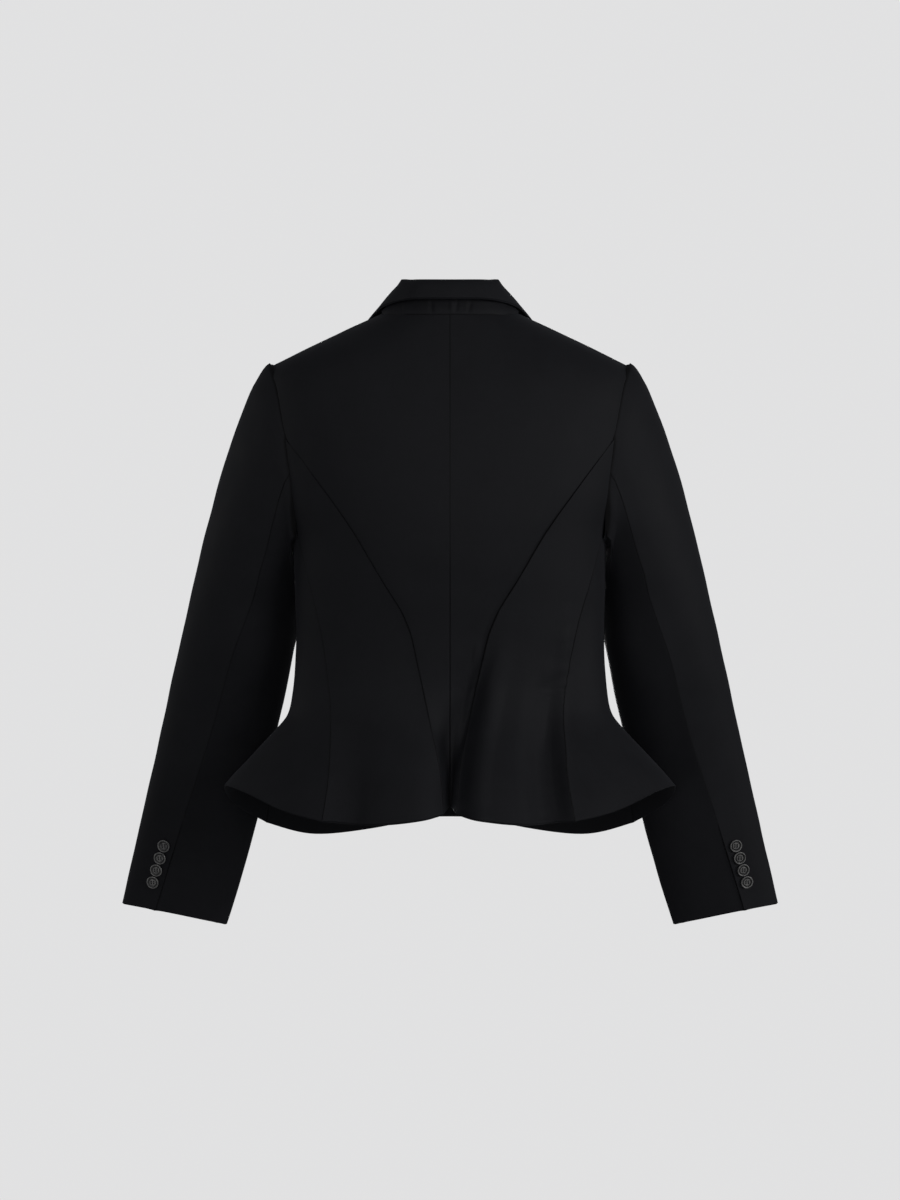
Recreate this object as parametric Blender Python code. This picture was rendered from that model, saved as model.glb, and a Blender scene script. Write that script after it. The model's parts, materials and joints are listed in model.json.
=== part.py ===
"""Double-breasted jacket with a fluted peplum, filled out as if worn and empty inside.

Metres, +Z up. The origin is the middle of the neck opening, at the height of the shoulder seams'
neck ends. -Y is out of the garment's back, +Y out of its front, and +X is the wearer's right.
Every cloth piece is a wall with an outer and an inner face, taken from the sections below.
"""

import math

import bmesh
import bpy
import numpy as np

# Cloth and seams
CLOTH = 0.002
SEAM_GAP = 0.0003
MITRE_LIMIT = 1.5

# Shoulder line, from the neck to the sleeve head, in the plane of the shoulder seams
NECK_HALF_WIDTH = 0.070
NECK_HEIGHT = 0.003
SHOULDER_HALF_WIDTH = 0.200
SHOULDER_TIP_HEIGHT = -0.0585
BACK_NECK_HEIGHT = -0.006
LEAST_HALF_WIDTH = 0.004

# Underarm: where the side-back seam, the side panel and the front seam meet the armhole
BACK_UNDERARM_HEIGHT = -0.245
UNDERARM_HEIGHT = -0.252
FRONT_UNDERARM_HEIGHT = -0.236
V_SEAM_TOP_HEIGHT = -0.142

# Horizontal sections of the body, from the hem to the shoulder tip
BODY_COLUMNS = ("height", "half_width", "back_depth", "front_depth", "roundness")
BODY_SECTIONS = (
    (-0.590, 0.298, 0.160, 0.150, 2.30),
    (-0.550, 0.272, 0.147, 0.140, 2.30),
    (-0.519, 0.250, 0.133, 0.130, 2.30),
    (-0.488, 0.221, 0.117, 0.120, 2.30),
    (-0.471, 0.2055, 0.108, 0.114, 2.30),
    (-0.455, 0.190, 0.100, 0.109, 2.30),
    (-0.436, 0.177, 0.093, 0.105, 2.30),
    (-0.420, 0.1735, 0.089, 0.103, 2.30),
    (-0.398, 0.1712, 0.086, 0.101, 2.30),
    (-0.355, 0.1690, 0.090, 0.108, 2.30),
    (-0.300, 0.1705, 0.101, 0.122, 2.30),
    (-0.250, 0.1725, 0.110, 0.130, 2.35),
    (-0.205, 0.1860, 0.113, 0.126, 2.45),
    (-0.150, 0.1985, 0.112, 0.110, 2.50),
    (-0.100, 0.2030, 0.104, 0.090, 2.50),
    (-0.0585, 0.2000, 0.090, 0.071, 2.40),
    (0.003, 0.0700, 0.066, 0.056, 2.10),
)

# Hem heights round half the body, from the centre back (0) to the centre front (180)
HEM_COLUMNS = ("angle_deg", "height")
HEM_HEIGHTS = (
    (0, -0.534),
    (4, -0.541),
    (34, -0.550),
    (52, -0.544),
    (66, -0.525),
    (80, -0.515),
    (92, -0.519),
    (104, -0.540),
    (115, -0.562),
    (134, -0.581),
    (156, -0.568),
    (166, -0.5605),
    (180, -0.560),
)

# Seams of the back, as distances from the centre back
SEAM_COLUMNS = ("height", "from_centre")
V_SEAM = (
    (-0.560, 0.005),
    (-0.494, 0.0115),
    (-0.458, 0.019),
    (-0.416, 0.028),
    (-0.384, 0.035),
    (-0.348, 0.043),
    (-0.325, 0.053),
    (-0.290, 0.075),
    (-0.245, 0.101),
    (-0.191, 0.139),
    (-0.142, 0.1755),
)
SIDE_BACK_SEAM = (
    (-0.560, 0.137),
    (-0.542, 0.1345),
    (-0.494, 0.1290),
    (-0.443, 0.1285),
    (-0.392, 0.1330),
    (-0.349, 0.1395),
    (-0.2925, 0.1530),
    (-0.245, 0.1655),
)
# The seam of the side panel with the front, as an angle from the centre back
FRONT_SEAM_COLUMNS = ("height", "angle_deg")
FRONT_SEAM = (
    (-0.580, 118.0),
    (-0.400, 106.0),
    (-0.236, 103.0),
)

# Armhole edges on the back and the front, as distances from the centre
ARMHOLE_COLUMNS = ("height", "back_from_centre", "front_from_centre")
ARMHOLE = (
    (-0.250, 0.1655, 0.1722),
    (-0.236, 0.1668, 0.1717),
    (-0.215, 0.1690, 0.1645),
    (-0.190, 0.1715, 0.1610),
    (-0.165, 0.1745, 0.1615),
    (-0.142, 0.1770, 0.1650),
    (-0.100, 0.1840, 0.1770),
    (-0.080, 0.1885, 0.1850),
    (-0.067, 0.1940, 0.1930),
    (-0.0585, 0.2000, 0.2000),
)

# Folds of the peplum at the hem, across each panel, as distances out of the section
FOLD_COLUMNS = ("share_across", "out")
SIDE_BACK_FOLDS = (
    (0.00, 0.000),
    (0.30, 0.009),
    (0.55, 0.006),
    (0.84, -0.009),
    (1.00, 0.000),
)
FRONT_FOLDS = (
    (0.00, 0.000),
    (0.32, 0.012),
    (0.62, -0.003),
    (1.00, 0.000),
)
FOLD_START_HEIGHT = -0.400
FOLD_FULL_HEIGHT = -0.545

# The centre back hangs straight behind the two flutes beside it
RECESS_COLUMNS = ("height", "depth")
CENTRE_RECESS = (
    (-0.560, 0.040),
    (-0.535, 0.036),
    (-0.494, 0.024),
    (-0.450, 0.010),
    (-0.416, 0.003),
    (-0.390, 0.000),
)
RECESS_POWER = 2.6

# Rows and columns of the body's walls
PEPLUM_TOP_HEIGHT = -0.462
WAIST_HEIGHT = -0.405
PEPLUM_ROWS = 5
FLARE_ROWS = 5
BODICE_ROWS = 6
YOKE_ROWS = 5
SHOULDER_ROWS = 6
SHOULDER_ROW_POWER = 2.0
BACK_COLUMNS = 8
NECK_COLUMNS = 5
SIDE_BACK_PANEL_COLUMNS = 8
SIDE_PANEL_COLUMNS = 6
FRONT_PANEL_COLUMNS = 13
HEM_FADE = 3.0
TOP_FADE = 1.5
DART_END_WIDTH = 0.0025

# Front closure: the right front laps over the left one
LAP_PAST_CENTRE = 0.085
UNDERLAP_PAST_CENTRE = 0.070
LAP_CLEARANCE = 0.0018
LAP_EASE = 0.030
ROLL_COLUMNS = ("height", "past_centre")
ROLL_LINE = (
    (-0.300, 0.0845),
    (-0.240, 0.0475),
    (-0.165, 0.0020),
    (-0.100, -0.0330),
    (-0.048, -0.0560),
    (0.003, -0.0695),
)
BREAK_HEIGHT = -0.300

# Lapel: its edge and its top, on the front
LAPEL_COLUMNS = ("height", "from_centre")
LAPEL_EDGE = (
    (-0.302, -0.0760),
    (-0.270, -0.0290),
    (-0.220, 0.0280),
    (-0.160, 0.0810),
    (-0.110, 0.1140),
    (-0.046, 0.1390),
)
GORGE_HEIGHT = -0.048
PEAK_DIP = 0.0088
LAPEL_ROWS = 12
LAPEL_FINE_ROWS = 120
LAPEL_PANEL_COLUMNS = 8
LAPEL_CLEARANCE = 0.0018
LAPEL_CUT_CLEARANCE = 0.004
LAPEL_ROLL = 0.0035
LAPEL_FOLD_GAP = 0.0005
LEFT_LAPEL_DROP = 0.0011
PEAK_LIFT = 0.0012

# Sleeve: rings from below the armhole to the cuff, of the wearer's right arm
SLEEVE_COLUMNS = (
    "x", "y", "z", "half_width", "half_depth", "tilt_deg", "pitch_deg", "back_seam_deg",
)
SLEEVE_RINGS = (
    (0.2263, 0.037, -0.300, 0.0574, 0.0530, 10.0, 13.0, 107.0),
    (0.2358, 0.050, -0.360, 0.0622, 0.0465, 11.0, 13.0, 92.0),
    (0.2572, 0.080, -0.450, 0.0633, 0.0385, 11.6, 13.0, 84.0),
    (0.2812, 0.112, -0.550, 0.0638, 0.0310, 11.6, 8.0, 76.0),
    (0.3147, 0.140, -0.673, 0.0606, 0.0225, 11.6, -5.5, 71.0),
)
SLEEVE_BACK_SEAM_AT_ARMHOLE_DEG = 111.0
SLEEVE_FRONT_SEAM_DEG = 216.0
ARMHOLE_CENTRE_Y = -0.004
ARMHOLE_CENTRE_HEIGHT = -0.155
SLEEVE_SEAM_CLEARANCE = 0.0008
SLEEVE_HEAD_CLEARANCE = 0.0010
SLEEVE_HEAD_ROPE = 0.0032
HEAD_LEAVES_TOP = (0.078, 0.0, -0.078)
HEAD_LEAVES_UNDERARM = (0.028, 0.020, -0.012)
HEAD_CROWDING = 1.6
HEAD_CROWDED_ANGLE = 0.6
SLEEVE_HEAD_ROWS = 7
SLEEVE_SPAN_ROWS = 2
TOP_SLEEVE_COLUMNS = 16
UNDER_SLEEVE_COLUMNS = 9

# Collar: its roll line and its edge, from the centre back to the front end on the wearer's right
COLLAR_COLUMNS = ("station", "roll_x", "roll_y", "roll_z", "edge_x", "edge_y", "edge_z")
COLLAR_STATIONS = (
    (0.00, 0.0000, -0.0670, 0.0312, 0.0000, -0.0890, 0.0110),
    (0.20, 0.0290, -0.0640, 0.0316, 0.0365, -0.0855, 0.0112),
    (0.40, 0.0485, -0.0430, 0.0325, 0.0610, -0.0620, 0.0095),
    (0.55, 0.0545, -0.0060, 0.0290, 0.0800, -0.0180, 0.0040),
    (0.70, 0.0610, 0.0280, 0.0130, 0.0920, 0.0200, -0.0090),
    (0.85, 0.0600, 0.0530, -0.0120, 0.0985, 0.0400, -0.0300),
    (1.00, 0.0555, 0.0670, -0.0420, 0.1000, 0.0560, -0.0560),
)
COLLAR_AT_SHOULDER = 0.55
COLLAR_END_HEIGHT = -0.044
COLLAR_PATH_COLUMNS = 12
STAND_ROWS = 3
FALL_ROWS = 5
STAND_TOP_CLEARANCE = 0.0045
FALL_BULGE = 0.0026
COLLAR_LIFT = 0.0029
STAND_CLEARANCE = 0.0009
STAND_RISE = 0.0028
STAND_RISE_LENGTH = 0.11
STAND_SET_IN = 0.0030
STAND_END = 0.74

# Buttons
CUFF_BUTTON_RADIUS = 0.0072
CUFF_BUTTON_HEIGHT = 0.0030
CUFF_BUTTON_COUNT = 4
CUFF_BUTTON_PITCH = 0.0154
FIRST_CUFF_BUTTON_FROM_HEM = 0.034
CUFF_BUTTON_FROM_SEAM = 0.0125
FRONT_BUTTON_RADIUS = 0.0110
FRONT_BUTTON_HEIGHT = 0.0040
FRONT_BUTTON_FROM_CENTRE = 0.056
FRONT_BUTTON_HEIGHTS = (-0.322, -0.412)
BUTTON_SEAT_GAP = 0.0004
BUTTON_SEGMENTS = 16
# Turned profile of a button, as shares of its radius and height
BUTTON_COLUMNS = ("radius_share", "height_share")
BUTTON_PROFILE = (
    (0.62, 0.00),
    (0.95, 0.30),
    (1.00, 0.62),
    (0.88, 1.00),
    (0.68, 0.72),
)

CLOTH_COLOUR = (0.010, 0.010, 0.012, 1.0)
BUTTON_COLOUR = (0.030, 0.030, 0.032, 1.0)


# Tables and smooth curves
def smooth_curve(xs, ys, at):
    """A curve through the points with no overshoot, read at the places given."""
    at = np.asarray(at, float)
    step = np.diff(xs)
    slope = np.diff(ys) / step
    tangent = np.zeros(len(ys))
    tangent[0], tangent[-1] = slope[0], slope[-1]
    same_way = slope[:-1] * slope[1:] > 0
    total = np.where(same_way, slope[:-1] + slope[1:], 1.0)
    tangent[1:-1] = np.where(same_way, 2 * slope[:-1] * slope[1:] / total, 0.0)
    i = np.clip(np.searchsorted(xs, at) - 1, 0, len(xs) - 2)
    s = np.clip((at - xs[i]) / step[i], 0.0, 1.0)
    return (
        ys[i] * (1 + 2 * s) * (1 - s) ** 2
        + ys[i + 1] * s * s * (3 - 2 * s)
        + step[i] * s * (1 - s) * (tangent[i] * (1 - s) - tangent[i + 1] * s)
    )


def column(table, columns, name, at):
    """One named column of a table, read smoothly at places along its first column."""
    rows = np.array(table, float)
    return smooth_curve(rows[:, 0], rows[:, columns.index(name)], at)


def ease(low, high, at):
    """0 below low, 1 above high, and smooth between them. low may be the larger one."""
    s = np.clip((np.asarray(at, float) - low) / (high - low), 0.0, 1.0)
    return s * s * (3 - 2 * s)


# The body's sections
def half_width(height):
    """Half the body's width, which follows the shoulder line above the sleeve heads."""
    height = np.asarray(height, float)
    slope = (NECK_HALF_WIDTH - SHOULDER_HALF_WIDTH) / (NECK_HEIGHT - SHOULDER_TIP_HEIGHT)
    on_shoulder = SHOULDER_HALF_WIDTH + slope * (height - SHOULDER_TIP_HEIGHT)
    on_shoulder = np.maximum(on_shoulder, LEAST_HALF_WIDTH)
    on_body = column(BODY_SECTIONS, BODY_COLUMNS, "half_width", height)
    return np.where(height > SHOULDER_TIP_HEIGHT, on_shoulder, on_body)


def radius(angle, height):
    """Distance from the body's axis to its section, at an angle from the centre back."""
    back = column(BODY_SECTIONS, BODY_COLUMNS, "back_depth", height)
    front = column(BODY_SECTIONS, BODY_COLUMNS, "front_depth", height)
    power = column(BODY_SECTIONS, BODY_COLUMNS, "roundness", height)
    depth = np.where(np.cos(angle) >= 0, back, front)
    across = np.abs(np.sin(angle)) / half_width(height)
    along = np.abs(np.cos(angle)) / depth
    return (across**power + along**power) ** (-1 / power)


def on_body(angle, height, out=0.0):
    """The point of the body at an angle and height, moved out of the section by a distance."""
    reach = radius(angle, height) + out
    return np.stack([reach * np.sin(angle), -reach * np.cos(angle), height + 0 * reach], axis=-1)


def angle_at(from_centre, height, front=False):
    """The angle of the section's point that lies a distance from the centre line."""
    name = "front_depth" if front else "back_depth"
    depth = column(BODY_SECTIONS, BODY_COLUMNS, name, height)
    power = column(BODY_SECTIONS, BODY_COLUMNS, "roundness", height)
    share = np.clip(np.abs(from_centre) / half_width(height), 0.0, 1.0)
    along = depth * (1 - share**power) ** (1 / power)
    angle = np.arctan2(np.asarray(from_centre, float), along)
    return math.pi - angle if front else angle


def fold_strength(height):
    return ease(FOLD_START_HEIGHT, FOLD_FULL_HEIGHT, height)


def hem_height(angle):
    return column(HEM_HEIGHTS, HEM_COLUMNS, "height", np.degrees(np.pi - np.abs(np.pi - angle)))


# Seams of the body, as angles at a height
def centre_back(height):
    return 0 * np.asarray(height, float)


def v_seam(height):
    return angle_at(column(V_SEAM, SEAM_COLUMNS, "from_centre", height), height)


def side_back_seam(height):
    return angle_at(column(SIDE_BACK_SEAM, SEAM_COLUMNS, "from_centre", height), height)


def front_seam(height):
    return np.radians(column(FRONT_SEAM, FRONT_SEAM_COLUMNS, "angle_deg", height))


def back_armhole(height):
    return angle_at(column(ARMHOLE, ARMHOLE_COLUMNS, "back_from_centre", height), height)


def front_armhole(height):
    from_centre = column(ARMHOLE, ARMHOLE_COLUMNS, "front_from_centre", height)
    return angle_at(from_centre, height, front=True)


def seam_rows(seam, top):
    """Angles and heights down a seam's rows, from the hem to a height at the underarm."""
    low = hem_height(seam(PEPLUM_TOP_HEIGHT))
    for _ in range(6):
        low = hem_height(seam(low))
    heights = np.concatenate([
        np.linspace(low, PEPLUM_TOP_HEIGHT, PEPLUM_ROWS + 1),
        np.linspace(PEPLUM_TOP_HEIGHT, WAIST_HEIGHT, FLARE_ROWS + 1)[1:],
        np.linspace(WAIST_HEIGHT, top, BODICE_ROWS + 1)[1:],
    ])
    return np.stack([seam(heights), heights], axis=-1)


def shoulder_heights(low, high):
    """Heights that crowd together towards the top, where the cloth turns over the shoulder."""
    share = np.linspace(1, 0, SHOULDER_ROWS + 1)[1:] ** SHOULDER_ROW_POWER
    return high + (low - high) * share


# Panels: places on the body in rows from the hem up and columns from seam to seam
def patch(left, right, bottom, top, top_start_row=0):
    """Angles and heights inside four edges. The top edge's form fades in from a row upwards."""
    rows, columns = len(left), len(bottom)
    across = np.linspace(0, 1, columns)[None, :, None]
    up = np.linspace(0, 1, rows)[:, None, None]
    above = np.clip((np.arange(rows) - top_start_row) / (rows - 1 - top_start_row), 0, 1)
    plain = left[:, None, :] * (1 - across) + right[:, None, :] * across
    hem_form = (bottom - plain[0])[None] * (1 - up) ** HEM_FADE
    top_form = (top - plain[-1])[None] * (above**TOP_FADE)[:, None, None]
    return plain + hem_form + top_form


def hem_edge(start, end, columns):
    angles = np.linspace(start, end, columns + 1)
    return np.stack([angles, hem_height(angles)], axis=-1)


def straight_edge(start, end, columns):
    share = np.linspace(0, 1, columns + 1)[:, None]
    return np.asarray(start) * (1 - share) + np.asarray(end) * share


def normals_of(grid):
    """Outward unit normals of a grid of points whose rows go up and columns go to the right."""
    up = np.gradient(grid, axis=0)
    across = np.gradient(grid, axis=1)
    normal = np.cross(across, up)
    return normal / np.linalg.norm(normal, axis=-1, keepdims=True)


def share_edge(first, second):
    """Sets the mean direction of two panels along a seam, so that their walls meet in a mitre."""
    mean = first + second
    mean /= np.linalg.norm(mean, axis=-1, keepdims=True)
    lean = np.clip((mean * first).sum(-1, keepdims=True), 1 / MITRE_LIMIT, 1.0)
    first[:] = mean / lean
    second[:] = mean / lean


def back_places():
    """The half back: its outer edge is the V seam, then the armhole up to the shoulder."""
    inner = seam_rows(centre_back, BACK_UNDERARM_HEIGHT)
    outer = seam_rows(v_seam, BACK_UNDERARM_HEIGHT)
    yoke = np.linspace(BACK_UNDERARM_HEIGHT, V_SEAM_TOP_HEIGHT, YOKE_ROWS + 1)[1:]
    above = shoulder_heights(V_SEAM_TOP_HEIGHT, SHOULDER_TIP_HEIGHT)
    outer = np.concatenate([
        outer,
        np.stack([v_seam(yoke), yoke], axis=-1),
        np.stack([back_armhole(above), above], axis=-1),
    ])
    share = (np.concatenate([yoke, above]) - BACK_UNDERARM_HEIGHT) / (
        SHOULDER_TIP_HEIGHT - BACK_UNDERARM_HEIGHT
    )
    up_centre = BACK_UNDERARM_HEIGHT + (BACK_NECK_HEIGHT - BACK_UNDERARM_HEIGHT) * share
    inner = np.concatenate([inner, np.stack([centre_back(up_centre), up_centre], axis=-1)])
    neck = np.linspace(0, 1, NECK_COLUMNS + 1)
    neckline = np.stack([
        neck * math.pi / 2,
        BACK_NECK_HEIGHT + (NECK_HEIGHT - BACK_NECK_HEIGHT) * neck**3,
    ], axis=-1)
    shoulder = straight_edge(
        (math.pi / 2, NECK_HEIGHT), (math.pi / 2, SHOULDER_TIP_HEIGHT), BACK_COLUMNS - NECK_COLUMNS
    )
    top = np.concatenate([neckline, shoulder[1:]])
    bottom = hem_edge(inner[0, 0], outer[0, 0], BACK_COLUMNS)
    return patch(inner, outer, bottom, top, PEPLUM_ROWS + FLARE_ROWS + BODICE_ROWS)


def side_back_places():
    """From the V seam to the side-back seam, and up to a point on the armhole."""
    inner = seam_rows(v_seam, BACK_UNDERARM_HEIGHT)
    outer = seam_rows(side_back_seam, BACK_UNDERARM_HEIGHT)
    yoke = np.linspace(BACK_UNDERARM_HEIGHT, V_SEAM_TOP_HEIGHT, YOKE_ROWS + 1)[1:]
    end = DART_END_WIDTH / SHOULDER_HALF_WIDTH
    armhole = np.maximum(back_armhole(yoke), v_seam(yoke) + end)
    inner = np.concatenate([inner, np.stack([v_seam(yoke), yoke], axis=-1)])
    outer = np.concatenate([outer, np.stack([armhole, yoke], axis=-1)])
    bottom = hem_edge(inner[0, 0], outer[0, 0], SIDE_BACK_PANEL_COLUMNS)
    top = straight_edge(inner[-1], outer[-1], SIDE_BACK_PANEL_COLUMNS)
    return patch(inner, outer, bottom, top)


def side_places():
    """From the side-back seam round under the arm to the front's seam."""
    inner = seam_rows(side_back_seam, BACK_UNDERARM_HEIGHT)
    outer = seam_rows(front_seam, FRONT_UNDERARM_HEIGHT)
    bottom = hem_edge(inner[0, 0], outer[0, 0], SIDE_PANEL_COLUMNS)
    top = straight_edge(inner[-1], outer[-1], SIDE_PANEL_COLUMNS)
    share = np.linspace(-1, 1, SIDE_PANEL_COLUMNS + 1)
    lowest = (BACK_UNDERARM_HEIGHT + FRONT_UNDERARM_HEIGHT) / 2 - UNDERARM_HEIGHT
    top[:, 1] -= lowest * (1 - share**2)
    return patch(inner, outer, bottom, top, PEPLUM_ROWS + FLARE_ROWS)


def front_edge(height, lap):
    """The front's free edge: straight up from the hem, then along the lapel's roll line."""
    past = np.where(
        np.asarray(height) < BREAK_HEIGHT,
        lap,
        np.minimum(column(ROLL_LINE, ROLL_COLUMNS, "past_centre", height), lap),
    )
    return angle_at(-past, height, front=True)


def front_places(lap):
    """From the front seam and armhole to the edge that laps past the centre front."""

    def edge(height):
        return front_edge(height, lap)

    outer = seam_rows(front_seam, FRONT_UNDERARM_HEIGHT)
    inner = seam_rows(edge, FRONT_UNDERARM_HEIGHT)
    above = np.concatenate([
        np.linspace(FRONT_UNDERARM_HEIGHT, V_SEAM_TOP_HEIGHT, YOKE_ROWS + 1)[1:],
        shoulder_heights(V_SEAM_TOP_HEIGHT, SHOULDER_TIP_HEIGHT),
    ])
    share = (above - FRONT_UNDERARM_HEIGHT) / (SHOULDER_TIP_HEIGHT - FRONT_UNDERARM_HEIGHT)
    up_edge = FRONT_UNDERARM_HEIGHT + (NECK_HEIGHT - FRONT_UNDERARM_HEIGHT) * share
    outer = np.concatenate([outer, np.stack([front_armhole(above), above], axis=-1)])
    inner = np.concatenate([inner, np.stack([edge(up_edge), up_edge], axis=-1)])
    bottom = hem_edge(outer[0, 0], inner[0, 0], FRONT_PANEL_COLUMNS)
    top = straight_edge(
        (math.pi / 2, SHOULDER_TIP_HEIGHT), (math.pi / 2, NECK_HEIGHT), FRONT_PANEL_COLUMNS
    )
    start = PEPLUM_ROWS + FLARE_ROWS + BODICE_ROWS
    return patch(outer, inner, bottom, top, start)


def back_points(places):
    """The half back's points. Below the waist it sinks behind the flutes beside it."""
    angle, height = places[..., 0], places[..., 1]
    share = np.clip(angle / np.maximum(v_seam(height), 1e-6), 0, 1)
    depth = column(CENTRE_RECESS, RECESS_COLUMNS, "depth", height)
    return on_body(angle, height, -depth * (1 - share**RECESS_POWER))


def side_back_points(places):
    angle, height = places[..., 0], places[..., 1]
    share = np.linspace(0, 1, places.shape[1])[None, :] + 0 * angle
    out = column(SIDE_BACK_FOLDS, FOLD_COLUMNS, "out", share) * fold_strength(height)
    return on_body(angle, height, out)


def side_points(places):
    return on_body(places[..., 0], places[..., 1])


def front_points(places, under=False):
    """A front's points. The under one sinks by the lap's cloth where the other covers it."""
    angle, height = places[..., 0], places[..., 1]
    start = front_seam(height)
    folded = math.pi - np.abs(math.pi - angle)
    share = np.clip((folded - start) / (math.pi - start), 0, 1)
    out = column(FRONT_FOLDS, FOLD_COLUMNS, "out", share) * fold_strength(height)
    if under:
        from_centre = radius(angle, height) * np.sin(angle)
        covered = column(ROLL_LINE, ROLL_COLUMNS, "past_centre", np.maximum(height, BREAK_HEIGHT))
        covered = np.minimum(covered, LAP_PAST_CENTRE)
        sink = 1 - ease(covered, covered + LAP_EASE, from_centre)
        out = out - (CLOTH + LAP_CLEARANCE) * sink
    return on_body(angle, height, out)


# Solids
def new_object(name, verts, faces, material):
    mesh = bpy.data.meshes.new(name)
    mesh.from_pydata([tuple(v) for v in verts], [], faces)
    work = bmesh.new()
    work.from_mesh(mesh)
    bmesh.ops.remove_doubles(work, verts=work.verts, dist=1e-6)
    bmesh.ops.recalc_face_normals(work, faces=work.faces)
    work.to_mesh(mesh)
    work.free()
    mesh.shade_smooth()
    mesh.set_sharp_from_angle(angle=math.radians(50))
    mesh.materials.append(material)
    made = bpy.data.objects.new(name, mesh)
    bpy.context.scene.collection.objects.link(made)
    return made


def inset_edges(outer, inner, edges, gap=SEAM_GAP / 2):
    """Draws a wall's edges back from its seams, along its own rows and columns."""
    rim = {
        "left": (np.s_[:, 0], np.s_[:, 1]),
        "right": (np.s_[:, -1], np.s_[:, -2]),
        "bottom": (np.s_[0, :], np.s_[1, :]),
        "top": (np.s_[-1, :], np.s_[-2, :]),
    }
    for edge in edges:
        at, beside = rim[edge]
        way = outer[beside] - outer[at]
        way *= gap / np.maximum(np.linalg.norm(way, axis=-1, keepdims=True), 1e-9)
        outer[at] += way
        inner[at] += way


def wall(name, outer, inner, material, side=1):
    """A closed wall between two grids of points. side -1 makes the mirrored piece."""
    rows, columns = outer.shape[:2]
    flip = np.array([side, 1, 1])
    verts = np.concatenate([outer.reshape(-1, 3), inner.reshape(-1, 3)]) * flip
    back = rows * columns

    def at(row, col):
        return row * columns + col

    faces = []
    for row in range(rows - 1):
        for col in range(columns - 1):
            quad = [at(row, col), at(row, col + 1), at(row + 1, col + 1), at(row + 1, col)]
            faces.append(quad)
            faces.append([back + i for i in reversed(quad)])
    rim = (
        [at(0, c) for c in range(columns)]
        + [at(r, columns - 1) for r in range(1, rows)]
        + [at(rows - 1, c) for c in range(columns - 2, -1, -1)]
        + [at(r, 0) for r in range(rows - 2, 0, -1)]
    )
    for i, j in zip(rim, rim[1:] + rim[:1]):
        faces.append([i, back + i, back + j, j])
    return new_object(name, verts, faces, material)


def body_panels(material):
    """The back, side-back, side and front panels of both sides, with mitred seams."""
    low_rows = PEPLUM_ROWS + FLARE_ROWS + BODICE_ROWS + 1
    yoke_rows = low_rows + YOKE_ROWS
    fronts = {1: front_places(LAP_PAST_CENTRE), -1: front_places(UNDERLAP_PAST_CENTRE)}
    for side in (1, -1):
        outer = {
            "back": back_points(back_places()),
            "side_back": side_back_points(side_back_places()),
            "side": side_points(side_places()),
            "front": front_points(fronts[side], under=side < 0),
        }
        normal = {name: normals_of(grid) for name, grid in outer.items()}
        normal["back"][:, 0, 0] = 0
        normal["back"][-1, NECK_COLUMNS:, 1] = 0
        normal["front"][-1, :, 1] = 0
        for grid in normal.values():
            grid /= np.linalg.norm(grid, axis=-1, keepdims=True)
        share_edge(normal["back"][:yoke_rows, -1], normal["side_back"][:, 0])
        share_edge(normal["side_back"][:low_rows, -1], normal["side"][:, 0])
        share_edge(normal["side"][:, -1], normal["front"][:low_rows, 0])
        word = "right" if side > 0 else "left"
        for name, grid in outer.items():
            inner = grid - CLOTH * normal[name]
            inset_edges(grid, inner, ("left", "right", "top"))
            wall(f"{name}_{word}", grid, inner, material, side)


def armhole_loop():
    """The armhole of the wearer's right, as points in order: down the back and up the front."""
    heights = shoulder_heights(V_SEAM_TOP_HEIGHT, SHOULDER_TIP_HEIGHT)[::-1]
    yoke = np.linspace(V_SEAM_TOP_HEIGHT, BACK_UNDERARM_HEIGHT, YOKE_ROWS + 1)
    back = np.concatenate([heights, yoke])
    down = on_body(back_armhole(back), back)
    under = side_points(side_places())[-1][1:]
    front = np.concatenate([
        np.linspace(FRONT_UNDERARM_HEIGHT, V_SEAM_TOP_HEIGHT, YOKE_ROWS + 1)[1:],
        heights[::-1][:-1],
    ])
    up = on_body(front_armhole(front), front)
    return np.concatenate([down, under, up])


def sleeve_start(angles):
    """Where the sleeve leaves the armhole, at angles from its top towards the back."""
    loop = armhole_loop()
    turn = np.arctan2(ARMHOLE_CENTRE_Y - loop[:, 1], loop[:, 2] - ARMHOLE_CENTRE_HEIGHT)
    turn = np.unwrap(turn)
    order = np.argsort(turn)
    wrapped = turn[0] + (angles - turn[0]) % (2 * math.pi)
    start = np.stack([
        np.interp(wrapped, turn[order], loop[order, k], period=2 * math.pi) for k in range(3)
    ], axis=-1)
    top = (1 + np.cos(angles)) / 2
    start[:, 0] += SLEEVE_SEAM_CLEARANCE + SLEEVE_HEAD_CLEARANCE * top**4
    start[:, 2] += SLEEVE_HEAD_ROPE * top**2
    return start


def sleeve_ring(row, angles):
    """One ring of the sleeve. Angle 0 is its outer side and a quarter turn is its back."""
    x, y, z, wide, deep, tilt, pitch, _ = row
    tilt, pitch = math.radians(tilt), math.radians(pitch)
    outwards = np.array([math.cos(tilt), 0, math.sin(tilt)])
    forwards = np.array([0, math.cos(pitch), math.sin(pitch)])
    return (
        np.array([x, y, z])
        + wide * np.cos(angles)[:, None] * outwards
        - deep * np.sin(angles)[:, None] * forwards
    )


def crowded_shares(ends, columns):
    """Shares of the way between two angles, closer together over the top of the sleeve head."""
    way = np.linspace(0, 1, 200)
    angle = ends[0] + (ends[1] - ends[0]) * way
    crowd = 1 + HEAD_CROWDING * np.exp(-((angle / HEAD_CROWDED_ANGLE) ** 2))
    so_far = np.concatenate([[0], np.cumsum((crowd[1:] + crowd[:-1]) / 2)])
    return np.interp(np.linspace(0, 1, columns + 1), so_far / so_far[-1], way)


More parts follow.
